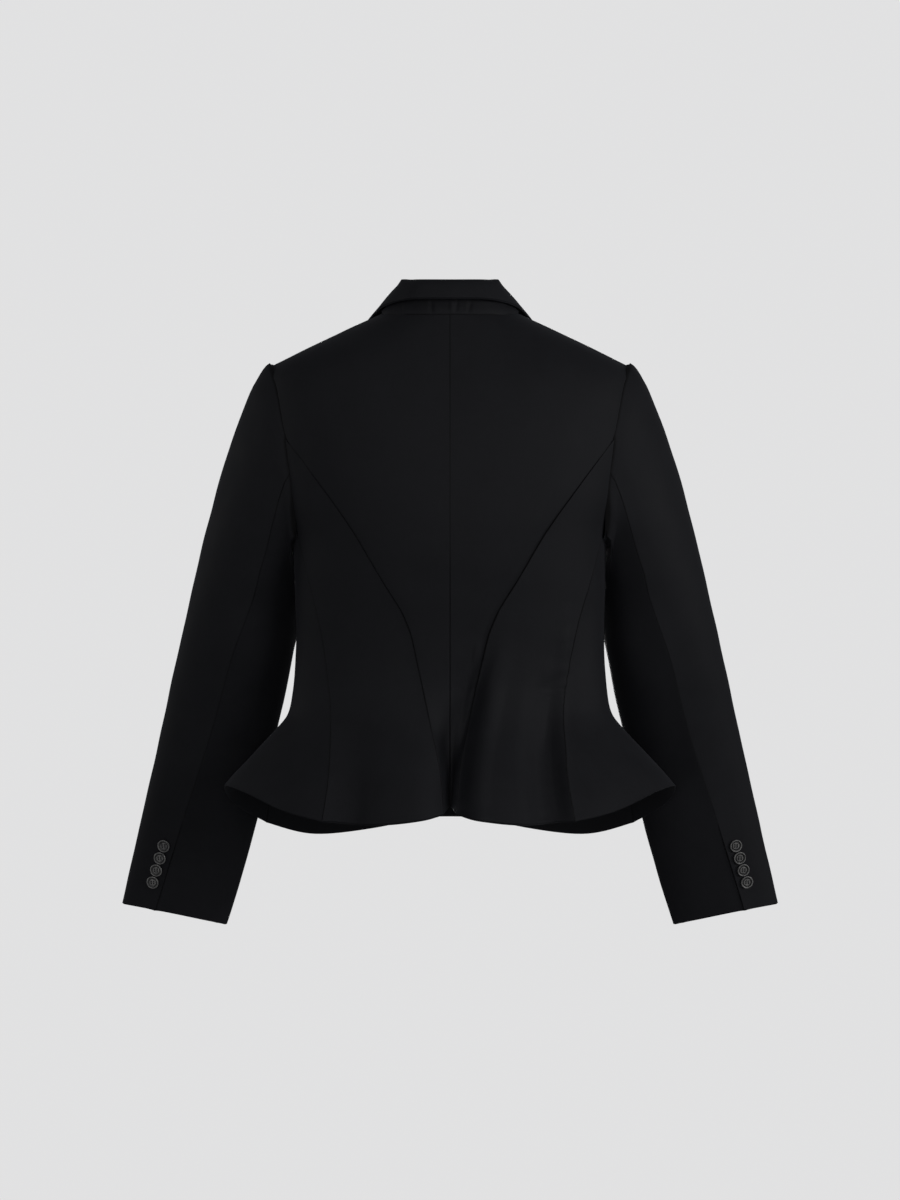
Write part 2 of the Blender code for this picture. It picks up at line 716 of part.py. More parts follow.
def sleeve_point_rows(edge_angles, columns):
    """Points of a sleeve panel between two seams, with rows from the cuff up to the armhole.

    edge_angles gives the two seams' angles at the armhole and at each ring.
    """
    shares = crowded_shares(edge_angles[0], columns)
    lines = [start + (end - start) * shares for start, end in edge_angles]
    knots = [sleeve_start(lines[0])]
    knots += [sleeve_ring(row, line) for row, line in zip(SLEEVE_RINGS, lines[1:])]
    top = ((1 + np.cos(lines[0])) / 2)[:, None]
    leave = top * np.array(HEAD_LEAVES_TOP) + (1 - top) * np.array(HEAD_LEAVES_UNDERARM)
    tangents = [leave]
    for k in range(1, len(knots) - 1):
        before = np.linalg.norm(knots[k] - knots[k - 1], axis=-1, keepdims=True)
        after = np.linalg.norm(knots[k + 1] - knots[k], axis=-1, keepdims=True)
        way = (knots[k] - knots[k - 1]) / before * after + (knots[k + 1] - knots[k]) / after * before
        tangents.append(way / (before + after))
    tangents.append((knots[-1] - knots[-2]))
    rows = [knots[0]]
    for k in range(len(knots) - 1):
        first, last = knots[k], knots[k + 1]
        length = np.linalg.norm(last - first, axis=-1, keepdims=True)
        leave_by = tangents[k] if k == 0 else tangents[k] * length
        arrive_by = tangents[k + 1] if k + 1 == len(knots) - 1 else tangents[k + 1] * length
        count = SLEEVE_HEAD_ROWS if k == 0 else SLEEVE_SPAN_ROWS
        for s in np.linspace(0, 1, count + 1)[1:]:
            rows.append(
                first * (1 + 2 * s) * (1 - s) ** 2
                + last * s * s * (3 - 2 * s)
                + leave_by * s * (1 - s) ** 2
                - arrive_by * s * s * (1 - s)
            )
    return np.array(rows[::-1])


def sleeve_seams():
    """Angles of the back and front seams at the armhole and at each ring."""
    back = [SLEEVE_BACK_SEAM_AT_ARMHOLE_DEG] + [row[-1] for row in SLEEVE_RINGS]
    back = np.radians(back)
    front = np.full(len(back), math.radians(SLEEVE_FRONT_SEAM_DEG))
    return back, front


def sleeves(material):
    """Top and under sleeve of both arms."""
    back, front = sleeve_seams()
    top = sleeve_point_rows(list(zip(back, front - 2 * math.pi)), TOP_SLEEVE_COLUMNS)
    under = sleeve_point_rows(list(zip(front, back)), UNDER_SLEEVE_COLUMNS)
    top_normal, under_normal = normals_of(top), normals_of(under)
    share_edge(top_normal[:, 0], under_normal[:, -1])
    share_edge(top_normal[:, -1], under_normal[:, 0])
    for normal in (top_normal, under_normal):
        normal[-1, :, 0] = 0
        normal[-1] /= np.linalg.norm(normal[-1], axis=-1, keepdims=True)
    for side, word in ((1, "right"), (-1, "left")):
        for name, grid, normal in (
            ("top_sleeve", top, top_normal),
            ("under_sleeve", under, under_normal),
        ):
            outer, inner = grid.copy(), grid - CLOTH * normal
            inset_edges(outer, inner, ("left", "right"), SEAM_GAP)
            wall(f"{name}_{word}", outer, inner, material, side)
    return top, top_normal


def lapel_places(rows):
    """A lapel on the right front, from its edge to its roll line and from the break to its peak."""
    low = LAPEL_EDGE[0][0]
    heights = np.linspace(low, GORGE_HEIGHT, rows + 1)
    edge_heights = np.linspace(low, LAPEL_EDGE[-1][0], rows + 1)
    roll_at = np.maximum(heights, BREAK_HEIGHT)
    roll = angle_at(-column(ROLL_LINE, ROLL_COLUMNS, "past_centre", roll_at), roll_at, front=True)
    edge_x = column(LAPEL_EDGE, LAPEL_COLUMNS, "from_centre", edge_heights)
    edge = angle_at(edge_x, edge_heights, front=True)
    left = np.stack([edge, edge_heights], axis=-1)
    right = np.stack([roll, heights], axis=-1)
    bottom = straight_edge(left[0], right[0], LAPEL_PANEL_COLUMNS)
    top = straight_edge(left[-1], right[-1], LAPEL_PANEL_COLUMNS)
    share = np.linspace(-1, 1, LAPEL_PANEL_COLUMNS + 1)
    top[:, 1] -= PEAK_DIP * (1 - share**2)
    return patch(left, right, bottom, top, rows // 2)


def lapel_under_lap():
    """The left lapel's places: each column starts where it comes out from under the right front."""
    fine = lapel_places(LAPEL_FINE_ROWS)
    angle, height = fine[..., 0], fine[..., 1]
    from_centre = radius(angle, height) * np.sin(angle)
    past = column(ROLL_LINE, ROLL_COLUMNS, "past_centre", np.maximum(height, BREAK_HEIGHT))
    first = np.argmax(from_centre > past + LAPEL_CUT_CLEARANCE, axis=0)
    places = np.empty((LAPEL_ROWS + 1, fine.shape[1], 2))
    for col, start in enumerate(first):
        at = np.linspace(start, LAPEL_FINE_ROWS, LAPEL_ROWS + 1)
        for k in range(2):
            places[:, col, k] = np.interp(at, np.arange(LAPEL_FINE_ROWS + 1), fine[:, col, k])
    return places


def lapels(material):
    """The lapels, turned back on the fronts. The left one goes under the right front."""
    from_roll = np.linspace(1, 0, LAPEL_PANEL_COLUMNS + 1)[None, :, None]
    for side, word in ((1, "right"), (-1, "left")):
        places = lapel_places(LAPEL_ROWS) if side > 0 else lapel_under_lap()
        base = front_points(places, under=side < 0)
        normal = normals_of(base)
        up = np.linspace(0, 1, LAPEL_ROWS + 1)[:, None, None]
        lift = LAPEL_CLEARANCE + LAPEL_ROLL * (1 - from_roll) ** 3 + PEAK_LIFT * up**4
        lift[:, -1] = LAPEL_FOLD_GAP
        if side < 0:
            lift -= LEFT_LAPEL_DROP
        inner = base + lift * normal
        wall(f"lapel_{word}", inner + CLOTH * normal, inner, material, side)


def collar_base(share):
    """The neck edge that the stand is sewn to: the back neckline, then the fronts' roll lines."""
    share = np.abs(share)
    behind = np.clip(share / COLLAR_AT_SHOULDER, 0, 1)
    before = np.clip((share - COLLAR_AT_SHOULDER) / (1 - COLLAR_AT_SHOULDER), 0, 1)
    back_height = BACK_NECK_HEIGHT + (NECK_HEIGHT - BACK_NECK_HEIGHT) * behind**3
    back = on_body(behind * math.pi / 2, back_height)
    front_height = NECK_HEIGHT + (COLLAR_END_HEIGHT - NECK_HEIGHT) * before**1.5
    front = on_body(front_edge(front_height, LAP_PAST_CENTRE), front_height)
    base = np.where((share <= COLLAR_AT_SHOULDER)[:, None], back, front)
    at_shoulder = np.exp(-(((share - COLLAR_AT_SHOULDER) / STAND_RISE_LENGTH) ** 2))
    base[:, 2] += STAND_CLEARANCE + STAND_RISE * at_shoulder
    return base


def collar_lines(end):
    """Base, roll and edge lines of the collar, round the neck as far as a station each way."""
    share = np.linspace(-end, end, 2 * COLLAR_PATH_COLUMNS + 1)
    lines = {"base": collar_base(share)}
    lines["base"][:, 0] *= np.sign(share)
    for line in ("roll", "edge"):
        read = [
            column(COLLAR_STATIONS, COLLAR_COLUMNS, f"{line}_{axis}", np.abs(share))
            for axis in "xyz"
        ]
        read[0] = read[0] * np.sign(share)
        lines[line] = np.stack(read, axis=-1)
    return lines


def outside_body(points, lift):
    """Moves points out of the body until they clear its section by a distance."""

    def share_out(p):
        angle = np.arctan2(np.abs(p[..., 0]), -p[..., 1])
        return np.hypot(p[..., 0], p[..., 1]) / radius(angle, p[..., 2]) - 1

    points = points.copy()
    step = 1e-5
    for _ in range(12):
        value = share_out(points)
        slope = np.stack([
            (share_out(points + step * np.eye(3)[k]) - value) / step for k in range(3)
        ], axis=-1)
        size = np.maximum(np.linalg.norm(slope, axis=-1), 1e-6)
        short = np.clip(lift - value / size, 0.0, 0.003)
        short = np.where(points[..., 2] > NECK_HEIGHT + lift, 0.0, short)
        points += (short / size)[..., None] * slope
    return points


def collar(material):
    """The stand round the neck, and the fall that rolls over it and down to its edge."""
    lines = collar_lines(STAND_END)
    rise = np.linspace(0, 1, STAND_ROWS + 1)[:, None, None]
    height = lines["roll"] - lines["base"]
    length = np.linalg.norm(height, axis=-1, keepdims=True)
    stand = lines["base"] + height * (1 - STAND_TOP_CLEARANCE / length) * rise
    stand_normal = normals_of(stand)
    stand = stand - STAND_SET_IN * rise * stand_normal
    wall("collar_stand", stand, stand - CLOTH * stand_normal, material)

    lines = collar_lines(1.0)
    drop = np.linspace(1, 0, FALL_ROWS + 1)[:, None, None]
    out = lines["edge"] - lines["roll"]
    along = np.gradient(lines["roll"], axis=0)
    bulge = np.cross(along, out)
    bulge /= np.linalg.norm(bulge, axis=-1, keepdims=True)
    bulge *= np.sign(bulge[:, 2:3])
    fall = lines["roll"] + out * drop + FALL_BULGE * bulge * np.sin(math.pi * drop**0.7)
    fall = outside_body(fall, COLLAR_LIFT)
    fall_normal = normals_of(fall)
    wall("collar_fall", fall, fall - CLOTH * fall_normal, material)


def button(name, seat, normal, size, material):
    """A turned button with a raised rim and a dished middle, standing on a point of the cloth."""
    width, height = size
    normal = normal / np.linalg.norm(normal)
    first = np.cross(normal, (0.0, 0.0, 1.0))
    first /= np.linalg.norm(first)
    second = np.cross(normal, first)
    turn = np.linspace(0, 2 * math.pi, BUTTON_SEGMENTS, endpoint=False)[:, None]
    around = np.cos(turn) * first + np.sin(turn) * second
    seat = seat + BUTTON_SEAT_GAP * normal
    rings = [seat + width * r * around + height * h * normal for r, h in BUTTON_PROFILE]
    verts = np.concatenate(rings)
    faces = [list(range(BUTTON_SEGMENTS))[::-1]]
    for k in range(len(rings) - 1):
        for i in range(BUTTON_SEGMENTS):
            j = (i + 1) % BUTTON_SEGMENTS
            low, high = k * BUTTON_SEGMENTS, (k + 1) * BUTTON_SEGMENTS
            faces.append([low + i, low + j, high + j, high + i])
    last = (len(rings) - 1) * BUTTON_SEGMENTS
    faces.append([last + i for i in range(BUTTON_SEGMENTS)])
    return new_object(name, verts, faces, material)


def cuff_buttons(top, normal, material):
    """Four buttons beside each sleeve's back seam, from the cuff up."""
    seam = top[:, 0]
    along = np.concatenate([[0], np.cumsum(np.linalg.norm(np.diff(seam, axis=0), axis=1))])
    across = np.linalg.norm(top[:, 1] - top[:, 0], axis=1)
    for count in range(CUFF_BUTTON_COUNT):
        at = FIRST_CUFF_BUTTON_FROM_HEM + count * CUFF_BUTTON_PITCH
        columns = CUFF_BUTTON_FROM_SEAM / np.interp(at, along, across)
        seat, way = [], []
        for grid, read in ((top, seat), (normal, way)):
            for k in range(3):
                on_row = grid[:, 0, k] + (grid[:, 1, k] - grid[:, 0, k]) * columns
                if columns > 1:
                    on_row = grid[:, 1, k] + (grid[:, 2, k] - grid[:, 1, k]) * (columns - 1)
                read.append(np.interp(at, along, on_row))
        for side, word in ((1, "right"), (-1, "left")):
            flip = np.array([side, 1, 1])
            button(
                f"cuff_button_{word}_{count + 1}",
                np.array(seat) * flip,
                np.array(way) * flip,
                (CUFF_BUTTON_RADIUS, CUFF_BUTTON_HEIGHT),
                material,
            )


def front_buttons(material):
    """Two columns of buttons on the right front, one each side of the centre front."""
    count = 0
    step = 0.004
    for height in FRONT_BUTTON_HEIGHTS:
        for from_centre in (-FRONT_BUTTON_FROM_CENTRE, FRONT_BUTTON_FROM_CENTRE):
            count += 1
            angle = angle_at(from_centre, height, front=True)
            near = np.array([
                [[angle + step, height - step], [angle - step, height - step]],
                [[angle + step, height + step], [angle - step, height + step]],
            ])
            corners = front_points(near)
            normal = np.cross(corners[0, 0] - corners[0, 1], corners[1, 0] - corners[0, 0])
            normal *= np.sign(normal[1])
            seat = front_points(np.array([[[angle, height]]]))[0, 0]
            button(
                f"front_button_{count}",
                seat,
                normal,
                (FRONT_BUTTON_RADIUS, FRONT_BUTTON_HEIGHT),
                material,
            )


def finish_material(name, colour, roughness):
    made = bpy.data.materials.new(name)
    made.use_nodes = True
    shader = made.node_tree.nodes["Principled BSDF"]
    shader.inputs["Base Color"].default_value = colour
    shader.inputs["Roughness"].default_value = roughness
    shader.inputs["Metallic"].default_value = 0.0
    made.diffuse_color = colour
    return made


def main():
    for old in list(bpy.data.objects):
        bpy.data.objects.remove(old)
    cloth = finish_material("black suiting", CLOTH_COLOUR, 0.85)
    horn = finish_material("dark button", BUTTON_COLOUR, 0.40)
    body_panels(cloth)
    top, top_normal = sleeves(cloth)
    lapels(cloth)
    collar(cloth)
    cuff_buttons(top, top_normal, horn)
    front_buttons(horn)


main()
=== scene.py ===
"""Double-breasted jacket: the cloth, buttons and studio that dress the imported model."""
import json
import math

import bmesh
import bpy
import numpy as np
from mathutils import Matrix, Vector
from mathutils.bvhtree import BVHTree

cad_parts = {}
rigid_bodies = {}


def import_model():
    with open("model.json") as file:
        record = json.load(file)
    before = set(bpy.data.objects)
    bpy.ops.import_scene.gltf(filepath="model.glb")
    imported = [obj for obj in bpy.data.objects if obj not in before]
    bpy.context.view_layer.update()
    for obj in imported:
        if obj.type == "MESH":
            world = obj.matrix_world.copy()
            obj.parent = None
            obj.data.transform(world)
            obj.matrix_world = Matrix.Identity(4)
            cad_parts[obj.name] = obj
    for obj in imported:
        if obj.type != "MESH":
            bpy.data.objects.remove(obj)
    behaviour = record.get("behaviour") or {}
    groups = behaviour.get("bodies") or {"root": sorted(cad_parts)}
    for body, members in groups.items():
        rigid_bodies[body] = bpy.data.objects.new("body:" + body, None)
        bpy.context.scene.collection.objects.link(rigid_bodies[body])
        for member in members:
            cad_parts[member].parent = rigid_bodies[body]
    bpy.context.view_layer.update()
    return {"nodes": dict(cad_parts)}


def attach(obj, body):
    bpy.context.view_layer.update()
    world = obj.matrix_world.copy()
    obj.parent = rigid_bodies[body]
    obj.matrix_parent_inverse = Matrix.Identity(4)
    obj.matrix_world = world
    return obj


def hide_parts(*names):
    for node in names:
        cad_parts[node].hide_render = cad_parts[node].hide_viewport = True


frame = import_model()

# Camera: level with the waist, square on to the back, at the photograph's scale.
CAMERA_DISTANCE = 3.4
CAMERA_HEIGHT = -0.314
FRAME_HEIGHT_AT_OBJECT = 1.32
SENSOR_HEIGHT = 24.0
CAMERA_REACH = 60.0

# Studio: a pale floor that curves up into a wall all round, and soft lights.
FLOOR_HEIGHT = -1.45
FLOOR_RADIUS = 5.5
WALL_RADIUS = 7.0
WALL_HEIGHT = 7.0
FLOOR_SIDES = 64
CURVE_STEPS = 6
GROUND_TONE = (0.755, 0.755, 0.760, 1.0)
AIR_TONE = (0.95, 0.97, 1.0, 1.0)
STUDIO_AMBIENT = 0.11
# Columns: name, place, target, width, power.
LIGHTS = (
    ("key_light", (2.5, -2.7, 0.3), (0.05, 0.0, -0.30), 1.2, 33.0),
    ("level_fill", (0.0, -3.9, 0.0), (0.0, 0.0, -0.20), 1.2, 23.0),
    ("top_fill", (-0.2, -1.9, 1.8), (0.0, 0.0, -0.10), 1.0, 7.0),
    ("side_light", (3.0, -0.9, 0.0), (0.25, 0.05, -0.35), 0.9, 24.0),
    ("left_light", (-2.9, 0.7, 0.1), (-0.25, 0.05, -0.35), 1.0, 8.0),
    ("left_fill", (-2.2, -2.8, 0.3), (0.0, 0.0, -0.30), 1.2, 7.0),
    ("floor_bounce", (-1.6, -2.4, -1.6), (-0.1, 0.0, -0.40), 1.2, 5.0),
    ("front_light", (0.10, 3.8, 0.15), (0.0, 0.0, -0.30), 1.0, 90.0),
    ("front_fill", (-0.45, 3.6, -0.75), (0.0, 0.0, -0.35), 0.8, 27.0),
)

# Cloth: the body's and the sleeves' rough sections, which tell which way is outwards.
BODY_HALF_WIDTH = 0.200
BODY_HALF_DEPTH = 0.120
BODY_RADIUS = 0.16
SLEEVE_RADIUS = 0.055
SLEEVE_SLOPE = 1.12
# Columns: height, x, y, half width, half depth.
SLEEVE_AXIS = (
    (-0.060, 0.200, -0.004, 0.045, 0.060),
    (-0.200, 0.2130, 0.016, 0.055, 0.058),
    (-0.300, 0.2263, 0.037, 0.0574, 0.0530),
    (-0.360, 0.2358, 0.050, 0.0622, 0.0465),
    (-0.450, 0.2572, 0.080, 0.0633, 0.0385),
    (-0.550, 0.2812, 0.112, 0.0638, 0.0310),
    (-0.673, 0.3147, 0.140, 0.0606, 0.0225),
)
# Raw edges, and the smoothing that keeps to the solids' own points.
MERGE_REACH = 0.00001
PAIR_ANGLE = math.radians(40)
PAIR_SHAPE = math.radians(90)
EDGE_ROUND = 0.00055
SUBDIVISIONS = 2
SHARP_EDGE = math.radians(50)
RIM_WIDTH = 0.0026
NARROW_EDGES = ("cloth_lapel", "cloth_top", "cloth_under")
CAGE_REACH = 0.0035
CAGE_ROUNDS = 3
CAGE_SHARE = 0.8
# Seams: how far inner faces reach past them and outer edges sink, and how wide their lips are painted
# dark as shade.
SEAM_REACH = 0.0006
SEAM_SINK = 0.0004
STAND_REACH = 0.0045
STAND_FOOT = -0.4
SEAM_SHADE = 0.0015
# Armholes: how far from the body a sleeve is painted dark as shade, above the height where that stops;
# then how near the body a sleeve's edge must be to be drawn in, how deep and far its inner face
# reaches, the gap left at its outer edge, and how far that edge sinks.
ARMHOLE_SHADE = 0.0060
ARMHOLE_FOOT = -0.244
ARMHOLE_NEAR = 0.0050
ARMHOLE_DEPTH = 0.0030
ARMHOLE_REACH = 0.0015
ARMHOLE_GAP = 0.0009
ARMHOLE_SINK = 0.0012
# Slight unevenness of all the cloth, as three waves.
EASE_HEIGHT = 0.00025
EASE_LENGTH = 0.085
EASE_APART = 0.02
EASE_THIRD = 0.6
# Columns: pace, way in x, y and z, start.
EASE_WAVES = (
    (1.0, (0.9, 0.3, 0.5), 0.7),
    (1.37, (0.35, 0.4, -0.8), 2.1),
    (0.61, (-0.7, -0.5, 0.6), 4.0),
)
# A sleeve's back seam: its edges lap over each other by the cuff buttons, and it is pressed.
VENT_TOP = -0.570
VENT_LENGTH = 0.030
VENT_WIDTH = 0.014
VENT_LIFT = 0.0011
VENT_DROP = 0.0007
CREASE_TOP = -0.160
CREASE_GROW = 0.06
CREASE_FACING = 3.0
BACK_CREASE_WIDTH = 0.032
BACK_CREASE_RISE = {1: 0.0030, -1: 0.0044}
BACK_SEAM_TURN = math.radians(-118)
BACK_SEAM_SPREAD = (math.radians(48), math.radians(80))
# How far round the right sleeve its back seam is eased outwards at each height, in metres.
# Columns: height, shift.
BACK_SEAM_SHIFT = (
    (-0.190, 0.0),
    (-0.250, 0.0060),
    (-0.287, 0.0105),
    (-0.314, 0.0094),
    (-0.357, 0.0078),
    (-0.391, 0.0060),
    (-0.421, 0.0032),
    (-0.470, 0.0),
)
LEFT_SHIFT_SHARE = 0.7
# Columns: height, fill.
SLEEVE_FILL = (
    (-0.090, 0.0),
    (-0.130, 0.0018),
    (-0.165, 0.0026),
    (-0.215, 0.0014),
    (-0.480, 0.0010),
    (-0.680, 0.0018),
)
FILL_CURVE = 1.5
# Top of a sleeve's head, which is raised beside the shoulder seam.
HEAD_TOP = (0.2010, -0.0600)
HEAD_REACH = 0.0190
HEAD_LIFT = 0.0044
# Collar: its pressed roll, its fall drawn in towards the stand, and its sharp corners.
COLLAR_ROLL = (0.008, 0.030)
COLLAR_LIFT = 0.0008
COLLAR_FALL = (0.0320, 0.0095)
COLLAR_BEHIND = (-0.030, -0.070)
COLLAR_DRAW = 0.0100
COLLAR_OVER = 1.2
COLLAR_CORNER = (0.0505, 0.0310)
CORNER_REACH = 0.0100
CORNER_PUSH = (0.0022, 0.0025)
# Tucks of a sleeve's inner side towards the body.
# Columns: middle turn, spread, depth, heights where it starts, is full, still is and ends.
TUCKS = (
    (math.radians(158), math.radians(36), 0.0085, (-0.214, -0.240, -0.330, -0.385)),
    (math.radians(-148), math.radians(52), 0.0036, (-0.240, -0.254, -0.272, -0.305)),
)

# Soft folds of the body: a line of points from top to foot seen square on, its half width and rise.
FOLD_STEPS = 32
FOLD_ENDS = (0.02, 0.98)
FOLD_FADE = 0.6
FOLD_FACING = 2.5
FOLD_SAG = 0.006
# Columns: points x z, half width, rise.
BACK_FOLDS = (
    (((-0.0520, 0.0090), (-0.0535, -0.0050)), 0.0016, -0.0010),
    (((-0.0205, 0.0100), (-0.0195, -0.0060)), 0.0018, -0.0012),
    (((0.0010, 0.0115), (0.0020, -0.0050)), 0.0015, 0.0011),
    (((0.0085, 0.0110), (0.0065, -0.0050)), 0.0016, -0.0012),
    (((0.0225, 0.0090), (0.0200, -0.0055)), 0.0017, -0.0012),
    (
        (
            (0.038, -0.365), (0.026, -0.405), (0.019, -0.440), (0.012, -0.479),
            (0.006, -0.515), (0.000, -0.640),
        ),
        0.0170, -0.0095,
    ),
    (
        (
            (0.041, -0.365), (0.030, -0.405), (0.023, -0.440), (0.016, -0.479),
            (0.010, -0.515), (0.004, -0.640),
        ),
        0.0062, -0.0082,
    ),
    (
        (
            (0.056, -0.365), (0.045, -0.405), (0.038, -0.440), (0.031, -0.479),
            (0.027, -0.515), (0.024, -0.640),
        ),
        0.0095, 0.0070,
    ),
    (
        (
            (0.008, -0.400), (0.002, -0.440), (-0.004, -0.479), (-0.006, -0.515),
            (-0.008, -0.640),
        ),
        0.0150, -0.0036,
    ),
    (
        (
            (0.115, -0.385), (0.1065, -0.440), (0.1025, -0.480), (0.107, -0.530),
            (0.117, -0.620),
        ),
        0.0175, -0.0115,
    ),
    (
        (
            (0.1225, -0.385), (0.1155, -0.440), (0.1130, -0.472), (0.1155, -0.510),
            (0.124, -0.580),
        ),
        0.0062, -0.0050,
    ),
    (
        (
            (0.127, -0.330), (0.1205, -0.415), (0.1185, -0.455), (0.1210, -0.490),
            (0.129, -0.560),
        ),
        0.0055, 0.0062,
    ),
    (((0.104, -0.232), (0.078, -0.272), (0.050, -0.318), (0.036, -0.350)), 0.0075, -0.0026),
    (((-0.166, -0.152), (-0.160, -0.164), (-0.152, -0.178)), 0.0060, -0.0016),
    (((-0.176, -0.118), (-0.165, -0.150), (-0.146, -0.190)), 0.0110, 0.0008),
    (((-0.118, -0.420), (-0.112, -0.470), (-0.110, -0.560)), 0.0160, -0.0006),
)
FRONT_FOLDS = (
    (((-0.030, -0.324), (0.045, -0.318), (0.120, -0.300)), 0.0120, -0.0011),
    (((-0.030, -0.410), (0.050, -0.420), (0.130, -0.440)), 0.0120, -0.0011),
    (((-0.090, -0.326), (-0.120, -0.316), (-0.150, -0.296)), 0.0110, -0.0011),
    (((-0.085, -0.416), (-0.115, -0.428), (-0.145, -0.446)), 0.0110, -0.0012),
    (((0.150, -0.150), (0.130, -0.190), (0.118, -0.240)), 0.0120, -0.0014),
    (((-0.150, -0.150), (-0.132, -0.196), (-0.122, -0.250)), 0.0120, -0.0012),
)
# Seams that run a little aside from the solids': their line as above, half width and move along x.
BACK_SHIFTS = (
    (((0.136, -0.290), (0.130, -0.400), (0.129, -0.470), (0.133, -0.600)), 0.0200, -0.0052),
)
# Steps where one panel's edge stands proud of the next, or below it: how far in the step reaches,
# its rise, the heights between which it grows and where it ends.
STEP_CURVE = 1.5
# Columns: piece, neighbour, width, rise, top, full, foot.
SEAM_STEPS = (
    ("side_back_right", "back_right", 0.011, 0.0010, -0.140, -0.230, -0.600),
    ("back_right", "side_back_right", 0.012, -0.0011, -0.140, -0.230, -0.600),
    ("side_back_left", "back_left", 0.009, 0.0005, -0.170, -0.250, -0.600),
    ("back_left", "side_back_left", 0.010, -0.0006, -0.170, -0.250, -0.600),
    ("back_left", "side_back_left", 0.014, -0.0010, -0.380, -0.470, -0.600),
    ("side_right", "side_back_right", 0.008, 0.0006, -0.250, -0.300, -0.600),
)
# Folds of a sleeve: each end's height and turn from the outer side in degrees.
# Columns: z, turn, end z, end turn, half width, rise.
RIGHT_SLEEVE_FOLDS = (
    (-0.385, 95, -0.430, 165, 0.0100, -0.0016),
    (-0.425, 80, -0.452, 150, 0.0090, -0.0014),
    (-0.350, 110, -0.372, 175, 0.0090, -0.0011),
    (-0.500, 85, -0.484, 140, 0.0100, -0.0009),
    (-0.215, 60, -0.300, 120, 0.0120, -0.0009),
)
LEFT_SLEEVE_FOLDS = (
    (-0.378, 100, -0.428, 170, 0.0100, -0.0017),
    (-0.418, 78, -0.448, 146, 0.0090, -0.0012),
    (-0.455, 95, -0.470, 155, 0.0085, -0.0010),
    (-0.512, 80, -0.492, 132, 0.0100, -0.0010),
    (-0.225, 64, -0.305, 116, 0.0120, -0.0010),
)

# Buttons: radius and height of each size, and the turned profile as shares of them.
CUFF_BUTTON = (0.0072, 0.0030)
FRONT_BUTTON = (0.0110, 0.0040)
BUTTON_FOOT = 0.62
BUTTON_SIDES = 36
BUTTON_BEVEL = 0.012
BUTTON_BEVEL_ANGLE = 0.45
BUTTON_SMOOTH = math.radians(35)
BUTTON_FEELERS = 16
FEELER_HEIGHT = 0.008
# Columns: radius share, height share.
BUTTON_PROFILE = (
    (0.95, 0.30),
    (1.00, 0.60),
    (0.98, 0.88),
    (0.92, 1.00),
    (0.83, 0.95),
    (0.77, 0.50),
    (0.60, 0.46),
    (0.52, 0.78),
    (0.30, 0.72),
)
# Painted highlight and shade across a button: highest on its raised rims, nought in its groove.
# Columns: radius share, painted highlight.
BUTTON_LIGHT_AND_SHADE = (
    (0.0, 0.70),
    (0.30, 0.75),
    (0.50, 1.0),
    (0.56, 0.5),
    (0.60, 0.0),
    (0.78, 0.0),
    (0.82, 1.0),
    (0.99, 0.9),
)
# Below this share of a button's height it takes the painted shade; above it the painted highlight
# grows in over the next share.
LIGHT_AND_SHADE_FOOT = 0.30
LIGHT_AND_SHADE_GROW = 0.10
BUTTON_HOLE_SHARE = 0.120
BUTTON_HOLE_APART = 0.220
BUTTON_HOLE_SIDES = 14
SEWING_THREAD = 0.07
SEWING_HEIGHT = 0.70
SEWING_FLAT = 0.42
BUTTON_CLOTHS = ("cloth_front", "cloth_top", "cloth_under")
BUTTONHOLE_NODES = ("front_button_1", "front_button_3")
BUTTONHOLE_LENGTH = 0.0240
BUTTONHOLE_OFFSET = -0.0075
BUTTONHOLE_HALF_WIDTH = 0.0016
BUTTONHOLE_THREAD = 0.0006
BUTTONHOLE_RISE = 0.6
AHEAD_OF_FRONT = 0.5

# Finishes: a tone is its place on the value that picks it, and its colour.
WOOL_DARK = (0.25, (0.0052, 0.0053, 0.0066, 1.0))
WOOL_LIGHT = (0.75, (0.0088, 0.0090, 0.0108, 1.0))
# Painted shade: the near black colour of seams' lips and of a sleeve beside its armhole.
SEAM_SHADE_COLOUR = (0.0012, 0.0012, 0.0015, 1.0)
RESIN_DARK = (0.30, (0.050, 0.050, 0.051, 1.0))
RESIN_LIGHT = (0.72, (0.170, 0.167, 0.164, 1.0))
# Painted shade in a button's groove and on its low sides.
GROOVE_SHADE = (0.004, 0.004, 0.0045, 1.0)
THREAD_DARK = (0.0, (0.006, 0.006, 0.007, 1.0))
THREAD_LIGHT = (1.0, (0.022, 0.022, 0.024, 1.0))

# Cut of each piece of cloth as built: its flat rectangle, with no allowances, and its own area.
# Columns: node, width, length, area.
CUTS = (
    ("back_left", 0.215, 0.560, 0.0608),
    ("back_right", 0.215, 0.560, 0.0608),
    ("side_back_left", 0.190, 0.440, 0.0396),
    ("side_back_right", 0.190, 0.440, 0.0396),
    ("side_left", 0.205, 0.360, 0.0476),
    ("side_right", 0.205, 0.360, 0.0476),
    ("front_left", 0.360, 0.610, 0.1315),
    ("front_right", 0.375, 0.610, 0.1373),
    ("lapel_left", 0.115, 0.200, 0.0126),
    ("lapel_right", 0.115, 0.300, 0.0190),
    ("top_sleeve_left", 0.265, 0.665, 0.1317),
    ("top_sleeve_right", 0.265, 0.665, 0.1317),
    ("under_sleeve_left", 0.150, 0.550, 0.0528),
    ("under_sleeve_right", 0.150, 0.550, 0.0528),
    ("collar_stand", 0.260, 0.042, 0.0089),
    ("collar_fall", 0.400, 0.066, 0.0165),
)


def deselect():
    """Clears the selection, so that an operator acts on the new piece alone."""
    if bpy.context.object and bpy.context.object.mode != "OBJECT":
        bpy.ops.object.mode_set(mode="OBJECT")
    bpy.ops.object.select_all(action="DESELECT")


def make_active(piece):
    """Selects one object and makes it the active one."""
    deselect()
    piece.select_set(True)
    bpy.context.view_layer.objects.active = piece


